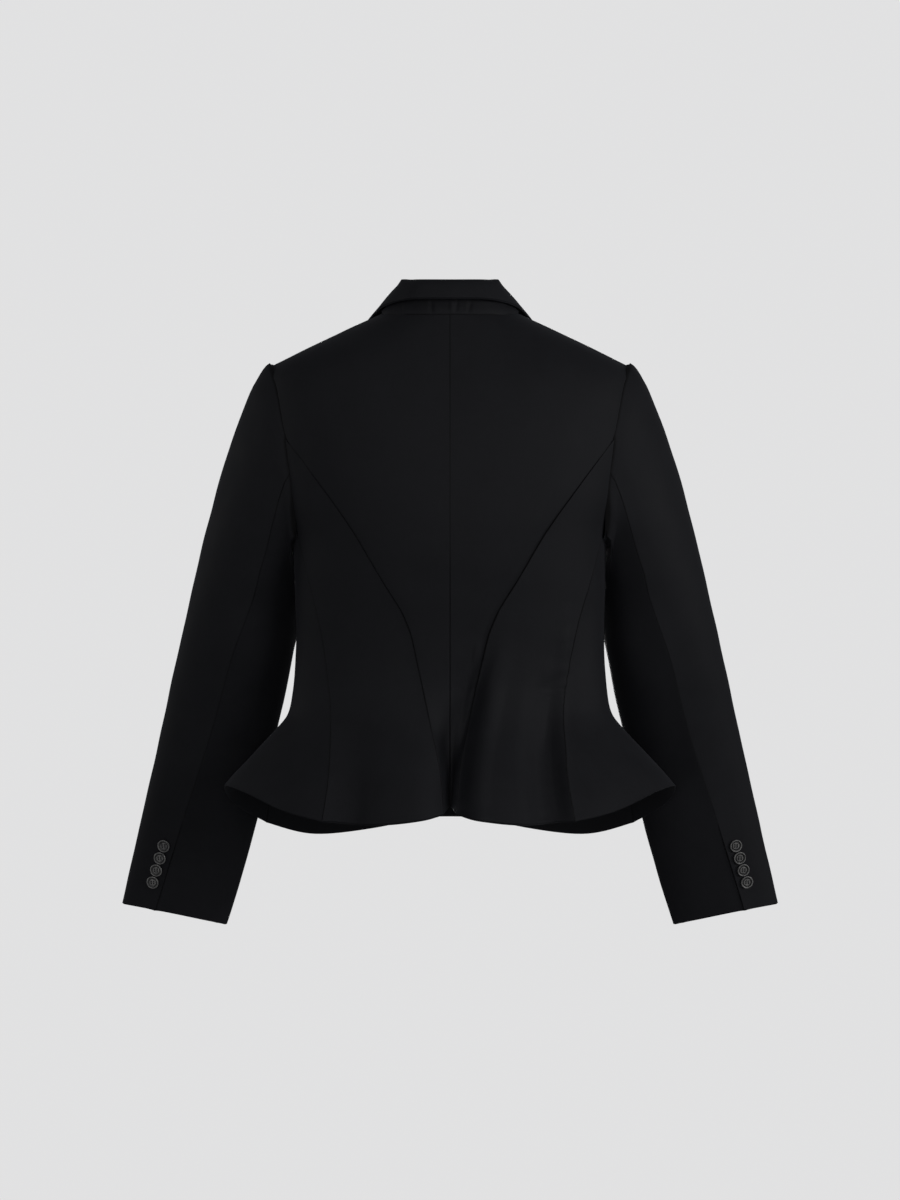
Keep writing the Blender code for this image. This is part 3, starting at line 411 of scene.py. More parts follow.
def apply_place():
    """Puts a new primitive's place into its mesh."""
    bpy.ops.object.transform_apply(location=True, rotation=True, scale=True)


def apply_modifier(piece, kind, **settings):
    """Adds one modifier with its settings and applies it."""
    make_active(piece)
    modifier = piece.modifiers.new(kind.lower(), kind)
    for word, value in settings.items():
        setattr(modifier, word, value)
    bpy.ops.object.modifier_apply(modifier=modifier.name)


def photograph_camera():
    """The camera at the photograph's viewing angle."""
    data = bpy.data.cameras.new("photograph_camera")
    data.sensor_fit = "VERTICAL"
    data.sensor_height = SENSOR_HEIGHT
    data.lens = CAMERA_DISTANCE / FRAME_HEIGHT_AT_OBJECT * SENSOR_HEIGHT
    data.clip_end = CAMERA_REACH
    camera = bpy.data.objects.new("photograph_camera", data)
    camera.location = (0.0, -CAMERA_DISTANCE, CAMERA_HEIGHT)
    camera.rotation_euler = (math.radians(90), 0.0, 0.0)
    bpy.context.collection.objects.link(camera)
    bpy.context.scene.camera = camera


def pale_floor():
    """A pale floor with a curved foot to its wall, which only the camera sees."""
    deselect()
    bpy.ops.mesh.primitive_circle_add(
        vertices=FLOOR_SIDES, radius=FLOOR_RADIUS, fill_type="NGON", location=(0, 0, FLOOR_HEIGHT)
    )
    floor = bpy.context.object
    floor.name = "studio_floor"
    bpy.ops.object.mode_set(mode="EDIT")
    bpy.ops.mesh.select_all(action="SELECT")
    bpy.ops.mesh.select_mode(type="EDGE")
    curve = WALL_RADIUS - FLOOR_RADIUS
    last_turn = 0.0
    last_reach = FLOOR_RADIUS
    for step in range(1, CURVE_STEPS + 1):
        turn = 0.5 * math.pi * step / CURVE_STEPS
        reach = FLOOR_RADIUS + curve * math.sin(turn)
        rise = curve * (math.cos(last_turn) - math.cos(turn))
        grow = reach / last_reach
        bpy.ops.mesh.extrude_edges_move(TRANSFORM_OT_translate={"value": (0, 0, rise)})
        bpy.ops.transform.resize(value=(grow, grow, 1.0), center_override=(0, 0, 0))
        last_turn, last_reach = turn, reach
    bpy.ops.mesh.extrude_edges_move(TRANSFORM_OT_translate={"value": (0, 0, WALL_HEIGHT)})
    bpy.ops.object.mode_set(mode="OBJECT")
    apply_place()
    pale = bpy.data.materials.new("pale_ground")
    pale.use_nodes = True
    nodes = pale.node_tree.nodes
    nodes.clear()
    glow = nodes.new("ShaderNodeEmission")
    glow.inputs["Color"].default_value = GROUND_TONE
    out = nodes.new("ShaderNodeOutputMaterial")
    pale.node_tree.links.new(glow.outputs["Emission"], out.inputs["Surface"])
    floor.data.materials.append(pale)
    floor.visible_diffuse = False
    floor.visible_glossy = False
    floor.visible_transmission = False
    floor.visible_shadow = False


def soft_lights():
    """The studio's air and its soft lights."""
    world = bpy.data.worlds.new("studio_air")
    world.use_nodes = True
    air = world.node_tree.nodes["Background"]
    air.inputs["Color"].default_value = AIR_TONE
    air.inputs["Strength"].default_value = STUDIO_AMBIENT
    bpy.context.scene.world = world
    for name, place, target, width, power in LIGHTS:
        data = bpy.data.lights.new(name, "AREA")
        data.shape = "SQUARE"
        data.size = width
        data.energy = power
        lamp = bpy.data.objects.new(name, data)
        lamp.location = place
        way = Vector(target) - Vector(place)
        lamp.rotation_euler = way.to_track_quat("-Z", "Y").to_euler()
        bpy.context.collection.objects.link(lamp)
    bpy.context.scene.view_settings.view_transform = "Standard"


def new_group(name, inputs, outputs):
    """An empty shader node group with its named sockets, and its two end nodes."""
    group = bpy.data.node_groups.new(name, "ShaderNodeTree")
    for word, kind, value in inputs:
        socket = group.interface.new_socket(word, in_out="INPUT", socket_type=kind)
        if value is not None:
            socket.default_value = value
    for word, kind in outputs:
        group.interface.new_socket(word, in_out="OUTPUT", socket_type=kind)
    return group, group.nodes.new("NodeGroupInput"), group.nodes.new("NodeGroupOutput")


def feed(tree, socket, value):
    """Gives a socket its value: a link from another socket, or a plain one."""
    if isinstance(value, bpy.types.NodeSocket):
        tree.links.new(value, socket)
    elif value is not None:
        socket.default_value = value


def maths(tree, operation, first, second=None):
    """One Math node, fed by sockets or plain numbers."""
    node = tree.nodes.new("ShaderNodeMath")
    node.operation = operation
    for socket, value in zip(node.inputs, (first, second)):
        feed(tree, socket, value)
    return node.outputs["Value"]


def ridges(tree, value, pace):
    """Rounded ridges across a value."""
    return maths(tree, "ABSOLUTE", maths(tree, "SINE", maths(tree, "MULTIPLY", value, pace)))


def mixture(tree, *parts):
    """The sum of two values, each given with its share."""
    return maths(tree, "ADD", *(maths(tree, "MULTIPLY", value, part) for value, part in parts))


def new_finish(name, gloss):
    """A new material of one gloss: the material, its node tree and its shader."""
    material = bpy.data.materials.new(name)
    material.use_nodes = True
    tree = material.node_tree
    shader = tree.nodes["Principled BSDF"]
    shader.inputs["Specular IOR Level"].default_value = gloss
    return material, tree, shader


def attribute(tree, name, output):
    """One of a piece's own attributes."""
    node = tree.nodes.new("ShaderNodeAttribute")
    node.attribute_name = name
    return node.outputs[output]


def placed_group(tree, group, **values):
    """A node group placed in a material, with what feeds its sockets."""
    node = tree.nodes.new("ShaderNodeGroup")
    node.node_tree = group
    for word, value in values.items():
        feed(tree, node.inputs[word.replace("_", " ")], value)
    return node


def object_place(tree):
    """The place on the object."""
    return tree.nodes.new("ShaderNodeTexCoord").outputs["Object"]


def two_tones(tree, value, dark, light):
    """A colour between a dark and a light tone, picked by a value."""
    ramp = tree.nodes.new("ShaderNodeValToRGB")
    for element, (position, colour) in zip(ramp.color_ramp.elements, (dark, light)):
        element.position = position
        element.color = colour
    tree.links.new(value, ramp.inputs["Fac"])
    return ramp.outputs["Color"]


def blended(tree, mask, first, second):
    """A colour between two, by a mask."""
    node = tree.nodes.new("ShaderNodeMix")
    node.data_type = "RGBA"
    for word, value in (("Factor", mask), ("A", first), ("B", second)):
        feed(tree, node.inputs[word], value)
    return node.outputs["Result"]


def set_roughness(tree, shader, value, low, high):
    """Makes a finish smoother or rougher by a value."""
    rough = tree.nodes.new("ShaderNodeMapRange")
    rough.inputs["To Min"].default_value = low
    rough.inputs["To Max"].default_value = high
    tree.links.new(value, rough.inputs["Value"])
    tree.links.new(rough.outputs["Result"], shader.inputs["Roughness"])


def set_relief(tree, shader, height, strength, distance):
    """Gives a finish its fine relief."""
    bump = tree.nodes.new("ShaderNodeBump")
    bump.inputs["Strength"].default_value = strength
    bump.inputs["Distance"].default_value = distance
    tree.links.new(height, bump.inputs["Height"])
    tree.links.new(bump.outputs["Normal"], shader.inputs["Normal"])


def twill_group():
    """Fine twill: slanting ribs crossed by threads, with the odd thicker yarn."""
    group, start, end = new_group(
        "fine_twill",
        (
            ("Grain", "NodeSocketVector", None),
            ("Threads per metre", "NodeSocketFloat", 1500.0),
            ("Slub", "NodeSocketFloat", 0.35),
        ),
        (("Height", "NodeSocketFloat"), ("Thread", "NodeSocketFloat")),
    )
    split = group.nodes.new("ShaderNodeSeparateXYZ")
    group.links.new(start.outputs["Grain"], split.inputs["Vector"])
    count = start.outputs["Threads per metre"]
    across = maths(group, "MULTIPLY", split.outputs["X"], count)
    along = maths(group, "MULTIPLY", split.outputs["Y"], count)
    slant = maths(group, "ADD", maths(group, "MULTIPLY", across, 0.5), along)
    rib = ridges(group, slant, math.pi * 0.5)
    thread = ridges(group, across, math.pi)
    woven = mixture(group, (rib, 0.65), (thread, 0.35))
    stretch = group.nodes.new("ShaderNodeMapping")
    stretch.inputs["Scale"].default_value = (420.0, 30.0, 1.0)
    group.links.new(start.outputs["Grain"], stretch.inputs["Vector"])
    yarn = group.nodes.new("ShaderNodeTexNoise")
    yarn.inputs["Scale"].default_value = 1.0
    yarn.inputs["Detail"].default_value = 2.0
    group.links.new(stretch.outputs["Vector"], yarn.inputs["Vector"])
    uneven = maths(group, "MULTIPLY", yarn.outputs["Fac"], start.outputs["Slub"])
    group.links.new(maths(group, "ADD", woven, uneven), end.inputs["Height"])
    shown = maths(group, "ADD", maths(group, "MULTIPLY", woven, 0.6), uneven)
    group.links.new(shown, end.inputs["Thread"])
    return group


def nap_group():
    """Nap of brushed wool: cloudy patches and short fibres, as a value about one half."""
    group, start, end = new_group(
        "wool_nap",
        (
            ("Place", "NodeSocketVector", None),
            ("Cloud scale", "NodeSocketFloat", 28.0),
            ("Fibre scale", "NodeSocketFloat", 900.0),
        ),
        (("Cloud", "NodeSocketFloat"), ("Fibre", "NodeSocketFloat")),
    )
    for word, detail, out in (("Cloud scale", 3.0, "Cloud"), ("Fibre scale", 2.0, "Fibre")):
        noise = group.nodes.new("ShaderNodeTexNoise")
        noise.inputs["Detail"].default_value = detail
        group.links.new(start.outputs["Place"], noise.inputs["Vector"])
        group.links.new(start.outputs[word], noise.inputs["Scale"])
        group.links.new(noise.outputs["Fac"], end.inputs[out])
    return group


def black_wool(twill, nap):
    """Black wool suiting: a fine twill with a short nap, almost matt, and a soft sheen, painted near
    black as shade along its seams and beside the armholes.
    """
    material, tree, shader = new_finish("black_wool", gloss=0.11)
    shader.inputs["Sheen Weight"].default_value = 0.03
    shader.inputs["Sheen Roughness"].default_value = 0.45
    shader.inputs["Sheen Tint"].default_value = (0.75, 0.78, 0.90, 1.0)
    weave = placed_group(tree, twill, Grain=attribute(tree, "grain", "Vector")).outputs
    brushed = placed_group(tree, nap, Place=object_place(tree)).outputs
    mottled = mixture(tree, (weave["Thread"], 0.45), (brushed["Cloud"], 0.55))
    # Painted shade: the cloth turns near black where the seam attribute is high.
    seam_shade_mask = tree.nodes.new("ShaderNodeMapRange")
    seam_shade_mask.inputs["From Min"].default_value = 0.40
    seam_shade_mask.inputs["From Max"].default_value = 0.80
    seam_shade_mask.inputs["To Max"].default_value = 0.92
    tree.links.new(attribute(tree, "seam", "Fac"), seam_shade_mask.inputs["Value"])
    plain = two_tones(tree, mottled, WOOL_DARK, WOOL_LIGHT)
    colour = blended(tree, seam_shade_mask.outputs["Result"], plain, SEAM_SHADE_COLOUR)
    tree.links.new(colour, shader.inputs["Base Color"])
    set_roughness(tree, shader, brushed["Cloud"], low=0.58, high=0.78)
    height = mixture(tree, (weave["Height"], 0.7), (brushed["Fibre"], 0.5))
    set_relief(tree, shader, height, strength=0.35, distance=0.00012)
    return material


def panel_of(node_name):
    """A copy of a panel's solid, its doubles merged and its triangles paired, as a new piece."""
    piece = bpy.data.objects.new("cloth_" + node_name, frame["nodes"][node_name].data.copy())
    bpy.context.collection.objects.link(piece)
    piece.data.materials.clear()
    make_active(piece)
    bpy.ops.object.mode_set(mode="EDIT")
    bpy.ops.mesh.select_all(action="SELECT")
    bpy.ops.mesh.remove_doubles(threshold=MERGE_REACH)
    bpy.ops.mesh.tris_convert_to_quads(
        face_threshold=PAIR_ANGLE, shape_threshold=PAIR_SHAPE, topology_influence=1.0
    )
    bpy.ops.object.mode_set(mode="OBJECT")
    return piece


def edge_of(piece, out, by_width):
    """The points on a panel's edge: their numbers, the way off the panel, and which are on its inner
    face. The cloth's faces are parted at the edge's narrow faces, or else at its sharp corners."""
    sheet = bmesh.new()
    sheet.from_mesh(piece.data)
    sheet.faces.ensure_lookup_table()
    sheet.normal_update()
    unseen = set(range(len(sheet.faces)))
    if by_width:
        for face in sheet.faces:
            if sum(edge.calc_length() < RIM_WIDTH for edge in face.edges) > 1:
                unseen.discard(face.index)
    patches = []
    while unseen:
        patch = [unseen.pop()]
        for index in patch:
            for edge in sheet.faces[index].edges:
                if not by_width and edge.calc_face_angle(math.pi) > SHARP_EDGE:
                    continue
                for other in edge.link_faces:
                    if other.index in unseen:
                        unseen.discard(other.index)
                        patch.append(other.index)
        patches.append(patch)
    patches.sort(key=lambda patch: -sum(sheet.faces[index].calc_area() for index in patch))
    faces = [[sheet.faces[index] for index in patch] for patch in patches[:2]]
    outness = []
    for side in faces:
        outness.append(sum(np.dot(out[f.verts[0].index], f.normal) * f.calc_area() for f in side))
    inner = set(faces[0] if outness[0] < outness[1] else faces[1])
    walls = set(faces[0]) | set(faces[1])
    numbers, ways, inside = [], [], []
    for vert in sheet.verts:
        rim = [f.normal for f in vert.link_faces if f not in walls]
        if rim:
            numbers.append(vert.index)
            ways.append(sum(rim, Vector()).normalized()[:])
            inside.append(any(f in inner for f in vert.link_faces))
    sheet.free()
    return np.array(numbers), np.array(ways), np.array(inside)


def close_seams(piece, out, body):
    """Sinks a panel's outer edge a little and lets its inner face reach past it, so that a seam is a
    dark groove with no daylight. A sleeve's head reaches into the armhole, the stand into the neck."""
    places = places_of(piece)
    numbers, ways, inside = edge_of(piece, out, piece.name.startswith(NARROW_EDGES))
    moves = np.where(inside, SEAM_REACH, -SEAM_SINK)[:, None] * ways
    if piece.name.endswith("collar_stand"):
        moves[inside & (ways[:, 2] < STAND_FOOT)] = (0.0, 0.0, -STAND_REACH)
    if "sleeve" in piece.name:
        for row, number in enumerate(numbers):
            place = Vector(places[number])
            found, _, _, apart = body.find_nearest(place)
            if apart > ARMHOLE_NEAR:
                continue
            way_out = Vector(body_outwards(np.array([found]))[0])
            if inside[row]:
                across = Vector((found.x, found.y, 0.0)) - Vector((place.x, place.y, 0.0))
                reach = across.normalized() * ARMHOLE_REACH
                moves[row] = found + way_out * -ARMHOLE_DEPTH + reach - place
            else:
                closer = max(1.0 - ARMHOLE_GAP / apart, 0.0)
                moves[row] = (found - place) * closer + way_out * -ARMHOLE_SINK
    places[numbers] += moves
    set_places(piece, places)


def rounded_cloth(piece, levels):
    """Rounds a panel's raw edges and smooths its surface through the solid's own points."""
    apply_modifier(
        piece, "BEVEL", width=EDGE_ROUND, segments=1, limit_method="ANGLE", angle_limit=SHARP_EDGE
    )
    wanted = places_of(piece)
    cage = wanted.copy()
    for _ in range(CAGE_ROUNDS):
        trial = piece.modifiers.new("trial", "SUBSURF")
        trial.levels = 1
        bpy.context.view_layer.update()
        smoothed = piece.evaluated_get(bpy.context.evaluated_depsgraph_get())
        seen = smoothed.to_mesh()
        reached = np.empty(len(seen.vertices) * 3)
        seen.vertices.foreach_get("co", reached)
        smoothed.to_mesh_clear()
        piece.modifiers.remove(trial)
        cage += CAGE_SHARE * (wanted - reached.reshape(-1, 3)[: len(wanted)])
        far = np.maximum(np.linalg.norm(cage - wanted, axis=1) / CAGE_REACH, 1.0)
        cage = wanted + (cage - wanted) / far[:, None]
        set_places(piece, cage)
    apply_modifier(piece, "SUBSURF", levels=levels, render_levels=levels)
    piece.data.shade_smooth()


def places_of(piece):
    """A piece's points as rows of x, y, z."""
    places = np.empty(len(piece.data.vertices) * 3)
    piece.data.vertices.foreach_get("co", places)
    return places.reshape(-1, 3)


def set_places(piece, places):
    """Moves a piece's points to new places."""
    piece.data.vertices.foreach_set("co", places.ravel())
    piece.data.update()


def unit(rows):
    """Rows scaled to length one."""
    return rows / np.maximum(np.linalg.norm(rows, axis=1), 1e-9)[:, None]


def share(values):
    """Values held between nought and one."""
    return np.clip(values, 0.0, 1.0)


def eased(values):
    """Shares from nought to one, made to start and end gently."""
    return values * values * (3 - 2 * values)


def body_outwards(places):
    """The level way out of the body at each point."""
    out = np.zeros_like(places)
    out[:, 0] = places[:, 0] / BODY_HALF_WIDTH**2
    out[:, 1] = places[:, 1] / BODY_HALF_DEPTH**2
    return unit(out)


def sleeve_axis(heights):
    """The sleeve's middle and half sizes at each height, for the right sleeve."""
    table = np.array(SLEEVE_AXIS)[::-1]
    return [np.interp(heights, table[:, 0], table[:, k]) for k in range(1, 5)]


def sleeve_outwards(places, side):
    """The level way out of a sleeve, and the turn from its outer side towards the front."""
    x, y, half_width, half_depth = sleeve_axis(places[:, 2])
    out = np.zeros_like(places)
    out[:, 0] = (places[:, 0] - side * x) / half_width**2
    out[:, 1] = (places[:, 1] - y) / half_depth**2
    across = side * (places[:, 0] - side * x) / half_width
    return unit(out), np.arctan2((places[:, 1] - y) / half_depth, across)


def fold_rise(flat, fold):
    """How far one soft fold lifts each point of a flat view, fading at both ends."""
    points, half_width, rise = fold
    points = np.array(points)
    marks = np.linspace(0.0, 1.0, len(points))
    steps = np.linspace(0.0, 1.0, FOLD_STEPS + 1)
    line = np.stack([np.interp(steps, marks, points[:, k]) for k in (0, 1)], axis=1)
    apart = np.linalg.norm(flat[:, None, :] - line[None, :, :], axis=2)
    nearest = apart.argmin(axis=1)
    apart = apart[np.arange(len(flat)), nearest]
    fade = np.sin(math.pi * np.clip(nearest / FOLD_STEPS, *FOLD_ENDS)) ** FOLD_FADE
    bell = np.where(apart < 2 * half_width, np.cos(0.25 * math.pi * apart / half_width) ** 2, 0.0)
    return rise * fade * bell


def ease(places):
    """The slight unevenness of cloth that nothing pulls flat."""
    waves = 2 * math.pi / EASE_LENGTH
    first, second, third = (
        np.sin(waves * pace * (places @ np.array(way)) + start) for pace, way, start in EASE_WAVES
    )
    return EASE_HEIGHT * (first * second + EASE_THIRD * third)


def body_creases(piece):
    """Moves a body panel, lapel or collar along its folds, both faces of the cloth together."""
    places = places_of(piece)
    out = body_outwards(places)
    lift = ease(places)
    back = share(-out[:, 1] * FOLD_FACING)
    front = share(out[:, 1] * FOLD_FACING)
    for shift in BACK_SHIFTS:
        places[:, 0] += back * fold_rise(places[:, (0, 2)], shift)
    flat = places[:, (0, 2)]
    for fold in BACK_FOLDS:
        lift += back * fold_rise(flat, fold)
    for fold in FRONT_FOLDS:
        lift += front * fold_rise(flat, fold)
    set_places(piece, places + lift[:, None] * out)


def sleeve_creases(piece, side):
    """Moves a sleeve panel along its folds, both faces of the cloth together."""
    places = places_of(piece)
    out, turn = sleeve_outwards(places, side)
    lift = ease(places * np.array((side, 1, 1)) + side * EASE_APART)
    flat = np.stack([turn * SLEEVE_RADIUS, places[:, 2]], axis=1)
    folds = RIGHT_SLEEVE_FOLDS if side > 0 else LEFT_SLEEVE_FOLDS
    for z, start, end_z, end, half_width, rise in folds:
        first, last = math.radians(start) * SLEEVE_RADIUS, math.radians(end) * SLEEVE_RADIUS
        middle = (0.5 * (first + last), 0.5 * (z + end_z) - FOLD_SAG)
        lift += fold_rise(flat, (((first, z), middle, (last, end_z)), half_width, rise))
    set_places(piece, places + lift[:, None] * out)


def node_surface(*node_names):
    """A search tree over the faces of some solids."""
    places, faces = [], []
    for node_name in node_names:
        data = frame["nodes"][node_name].data
        faces += [[index + len(places) for index in face.vertices] for face in data.polygons]
        places += [vert.co.copy() for vert in data.vertices]
    return BVHTree.FromPolygons(places, faces)


def seam_steps(piece):
    """Sets a body panel's edge proud of its neighbour's, or below it."""
    places = places_of(piece)
    out = body_outwards(places)
    for name, neighbour, width, rise, top, full, foot in SEAM_STEPS:
        if piece.name != "cloth_" + name:
            continue
        tree = node_surface(neighbour)
        apart = np.array([tree.find_nearest(Vector(place))[3] for place in places])
        near = share(1.0 - apart / width)
        grown = share((top - places[:, 2]) / (top - full))
        kept = places[:, 2] > foot
        places = places + (rise * near**STEP_CURVE * grown * kept)[:, None] * out
    set_places(piece, places)


def fill_sleeve(piece, side):
    """Fills the outer side of a sleeve out a little, most below its head."""
    places = places_of(piece)
    x, _, half_width, _ = sleeve_axis(places[:, 2])
    outward = share(side * (places[:, 0] - side * x) / half_width)
    heights, fill = zip(*SLEEVE_FILL[::-1])
    places[:, 0] += side * outward**FILL_CURVE * np.interp(places[:, 2], heights, fill)
    set_places(piece, places)


def straighten_back_seam(piece, side):
    """Eases a sleeve's back seam outwards round the sleeve, so that it falls in one line."""
    places = places_of(piece)
    x, y, half_width, half_depth = sleeve_axis(places[:, 2])
    across = side * (places[:, 0] - side * x) / half_width
    ahead = (places[:, 1] - y) / half_depth
    turn = np.arctan2(ahead, across)
    reach = np.hypot(ahead, across)
    from_seam = turn - BACK_SEAM_TURN
    spread = np.where(from_seam < 0, BACK_SEAM_SPREAD[0], BACK_SEAM_SPREAD[1])
    from_seam = share(np.abs(from_seam) / spread)
    heights, shift = zip(*BACK_SEAM_SHIFT[::-1])
    part = 1.0 if side > 0 else LEFT_SHIFT_SHARE
    move = part * np.interp(places[:, 2], heights, shift) / half_width
    turn = turn + move * np.cos(0.5 * math.pi * from_seam) ** 2
    places[:, 0] = side * (x + reach * np.cos(turn) * half_width)
    places[:, 1] = y + reach * np.sin(turn) * half_depth
    set_places(piece, places)


def shade_seams(piece, node_name, body):
    """Paints shade on the lips of a panel's seams, where it meets the next panel, and on a sleeve
    beside the body above its armhole's foot, kept as a mask that darkens the cloth's colour.
    """
    others = node_surface(*(name for name, *_ in CUTS if name != node_name))
    shade = np.zeros(len(piece.data.vertices))
    for index, vert in enumerate(piece.data.vertices):
        apart = others.find_nearest(vert.co, SEAM_SHADE)[3]
        if apart is not None:
            shade[index] = 1.0 - apart / SEAM_SHADE
        if "sleeve" in node_name and vert.co.z > ARMHOLE_FOOT:
            apart = body.find_nearest(vert.co, ARMHOLE_SHADE)[3]
            if apart is not None:
                shade[index] = max(shade[index], 1.0 - apart / ARMHOLE_SHADE)
    # The mask of painted shade, kept in the attribute named seam.
    layer = piece.data.attributes.new("seam", "FLOAT", "POINT")
    layer.data.foreach_set("value", shade)


def sleeve_back_seam(piece, side, inner):
    """Presses a crease along a sleeve's back seam, and laps its edges by the buttons."""
    other = ("top_sleeve_" if inner else "under_sleeve_") + ("right" if side > 0 else "left")
    tree = node_surface(other)
    places = places_of(piece)
    out = sleeve_outwards(places, side)[0]
    apart = np.array([tree.find_nearest(Vector(place))[3] for place in places])
    at_back = share(-out[:, 1] * CREASE_FACING)
    below_head = share((CREASE_TOP - places[:, 2]) / CREASE_GROW)
    crease = share(1.0 - apart / BACK_CREASE_WIDTH) ** 2
    lap = share(1.0 - apart / VENT_WIDTH)
    low = share((VENT_TOP - places[:, 2]) / VENT_LENGTH)
    lap_rise = -VENT_DROP if inner else VENT_LIFT
    move = BACK_CREASE_RISE[side] * crease * below_head + lap * low * lap_rise
    set_places(piece, places + (move * at_back)[:, None] * out)


def rope_head(piece, side):
    """Raises the top of a sleeve's head beside the shoulder seam."""
    places = places_of(piece)
    away = np.hypot(side * places[:, 0] - HEAD_TOP[0], places[:, 2] - HEAD_TOP[1])
    places[:, 2] += HEAD_LIFT * share(1.0 - (away / HEAD_REACH) ** 2) ** 2
    set_places(piece, places)


def tuck_sleeve(piece, side):
    """Lets a sleeve's inner side hang close to the body's side, in front and behind, clear of it."""
    places = places_of(piece)
    turn = sleeve_outwards(places, side)[1]
    inwards = np.zeros(len(places))
    for middle, spread, depth, heights in TUCKS:
        away = np.abs((turn - middle + math.pi) % (2 * math.pi) - math.pi)
        near = share(away / spread)
        high = np.interp(places[:, 2], heights[::-1], (0.0, 1.0, 1.0, 0.0))
        inwards += depth * np.cos(0.5 * math.pi * near) ** 2 * eased(high)
    places[:, 0] -= side * inwards
    set_places(piece, places)


def press_collar(piece):
    """Presses the collar's roll a little higher, with sharp corners where it turns down to the
    shoulders, and draws its fall in towards the stand."""
    places = places_of(piece)
    foot, top = COLLAR_ROLL
    places[:, 2] += COLLAR_LIFT * eased(share((places[:, 2] - foot) / (top - foot)))
    if piece.name.endswith("collar_fall"):
        top, foot = COLLAR_FALL
        below = np.clip((top - places[:, 2]) / (top - foot), 0.0, COLLAR_OVER)
        near, far = COLLAR_BEHIND
        behind = share((near - places[:, 1]) / (near - far))
        places[:, 1] += COLLAR_DRAW * below * eased(behind)
    for side in (-1, 1):
        away = np.hypot(places[:, 0] - side * COLLAR_CORNER[0], places[:, 2] - COLLAR_CORNER[1])
        near = share(1.0 - away / CORNER_REACH) ** 2
        places[:, 0] += side * CORNER_PUSH[0] * near
        places[:, 2] += CORNER_PUSH[1] * near
    set_places(piece, places)


def lay_grain(piece, across, along):
    """Keeps the way of the threads on the piece, in metres across and along the cut."""
    grain = np.stack([across, along, np.zeros_like(across)], axis=1)
    layer = piece.data.attributes.new("grain", "FLOAT_VECTOR", "POINT")
    layer.data.foreach_set("vector", grain.ravel())


def body_grain(piece, from_front):
    """Threads of a body panel: round the body and straight up it."""
    places = places_of(piece)
    turn = np.arctan2(places[:, 0], places[:, 1] if from_front else -places[:, 1])
    lay_grain(piece, turn * BODY_RADIUS, places[:, 2])


def sleeve_grain(piece, side, inner):
    """Threads of a sleeve panel: round the sleeve and along it."""
    places = places_of(piece)
    x, y = sleeve_axis(places[:, 2])[:2]
    way = -side if inner else side
    turn = np.arctan2(places[:, 1] - y, way * (places[:, 0] - side * x))
    lay_grain(piece, turn * SLEEVE_RADIUS, places[:, 2] * SLEEVE_SLOPE)


def finish_piece(piece, node_name, material):
    """Gives a piece its finish and its place on the body."""
    piece.data.materials.append(material)
    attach(piece, "root")
    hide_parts(node_name)


def cloth_panels(wool):
    """Every panel of cloth, shaped on its solid's form."""
    body = node_surface(*(name for name, *_ in CUTS if "sleeve" not in name))
    for node_name, width, length, area in CUTS:
        piece = panel_of(node_name)
        side = 1 if node_name.endswith("right") else -1
        if "sleeve" in node_name:
            inner = node_name.startswith("under")
            close_seams(piece, sleeve_outwards(places_of(piece), side)[0], body)
            rounded_cloth(piece, SUBDIVISIONS)
            shade_seams(piece, node_name, body)
            sleeve_back_seam(piece, side, inner)
            straighten_back_seam(piece, side)
            sleeve_grain(piece, side, inner)
            sleeve_creases(piece, side)
            rope_head(piece, side)
            tuck_sleeve(piece, side)
            fill_sleeve(piece, side)
        else:
            close_seams(piece, body_outwards(places_of(piece)), body)
            rounded_cloth(piece, SUBDIVISIONS + (node_name == "collar_stand"))
            shade_seams(piece, node_name, body)
            body_grain(piece, node_name.startswith(("front", "lapel")))
            seam_steps(piece)
            body_creases(piece)
            if node_name.startswith("collar"):
                press_collar(piece)
        finish_piece(piece, node_name, wool)


def resin_streaks_group():
    """Streaks and mottling of moulded resin, as a value about one half."""
    group, start, end = new_group(
        "resin_streaks",
        (("Place", "NodeSocketVector", None), ("Scale", "NodeSocketFloat", 260.0)),
        (("Streak", "NodeSocketFloat"), ("Grain", "NodeSocketFloat")),
    )
    stretch = group.nodes.new("ShaderNodeMapping")
    stretch.inputs["Scale"].default_value = (1.0, 1.0, 0.25)
    stretch.inputs["Rotation"].default_value = (0.0, 0.5, 0.0)
    group.links.new(start.outputs["Place"], stretch.inputs["Vector"])
    for out, detail, grow in (("Streak", 4.0, 1.0), ("Grain", 2.0, 9.0)):
        noise = group.nodes.new("ShaderNodeTexNoise")
        noise.inputs["Detail"].default_value = detail
        group.links.new(stretch.outputs["Vector"], noise.inputs["Vector"])
        scale = maths(group, "MULTIPLY", start.outputs["Scale"], grow)
        group.links.new(scale, noise.inputs["Scale"])
        group.links.new(noise.outputs["Fac"], end.inputs[out])
    return group


def dark_resin(streaks):
    """Dark moulded resin for the buttons, with a painted highlight on the raised rims and middle and
    painted shade in the groove and on the low sides.
    """
    material, tree, shader = new_finish("dark_resin", gloss=0.55)
    mottle = placed_group(tree, streaks, Place=object_place(tree)).outputs
    painted_highlight_resin = two_tones(tree, mottle["Streak"], RESIN_DARK, RESIN_LIGHT)
    # Painted highlight and shade: the streaked resin on raised parts, near black in the groove.
    colour = blended(tree, attribute(tree, "polish", "Fac"), GROOVE_SHADE, painted_highlight_resin)
    tree.links.new(colour, shader.inputs["Base Color"])
    set_roughness(tree, shader, mottle["Grain"], low=0.26, high=0.42)
    set_relief(tree, shader, mottle["Grain"], strength=0.10, distance=0.0001)
    return material


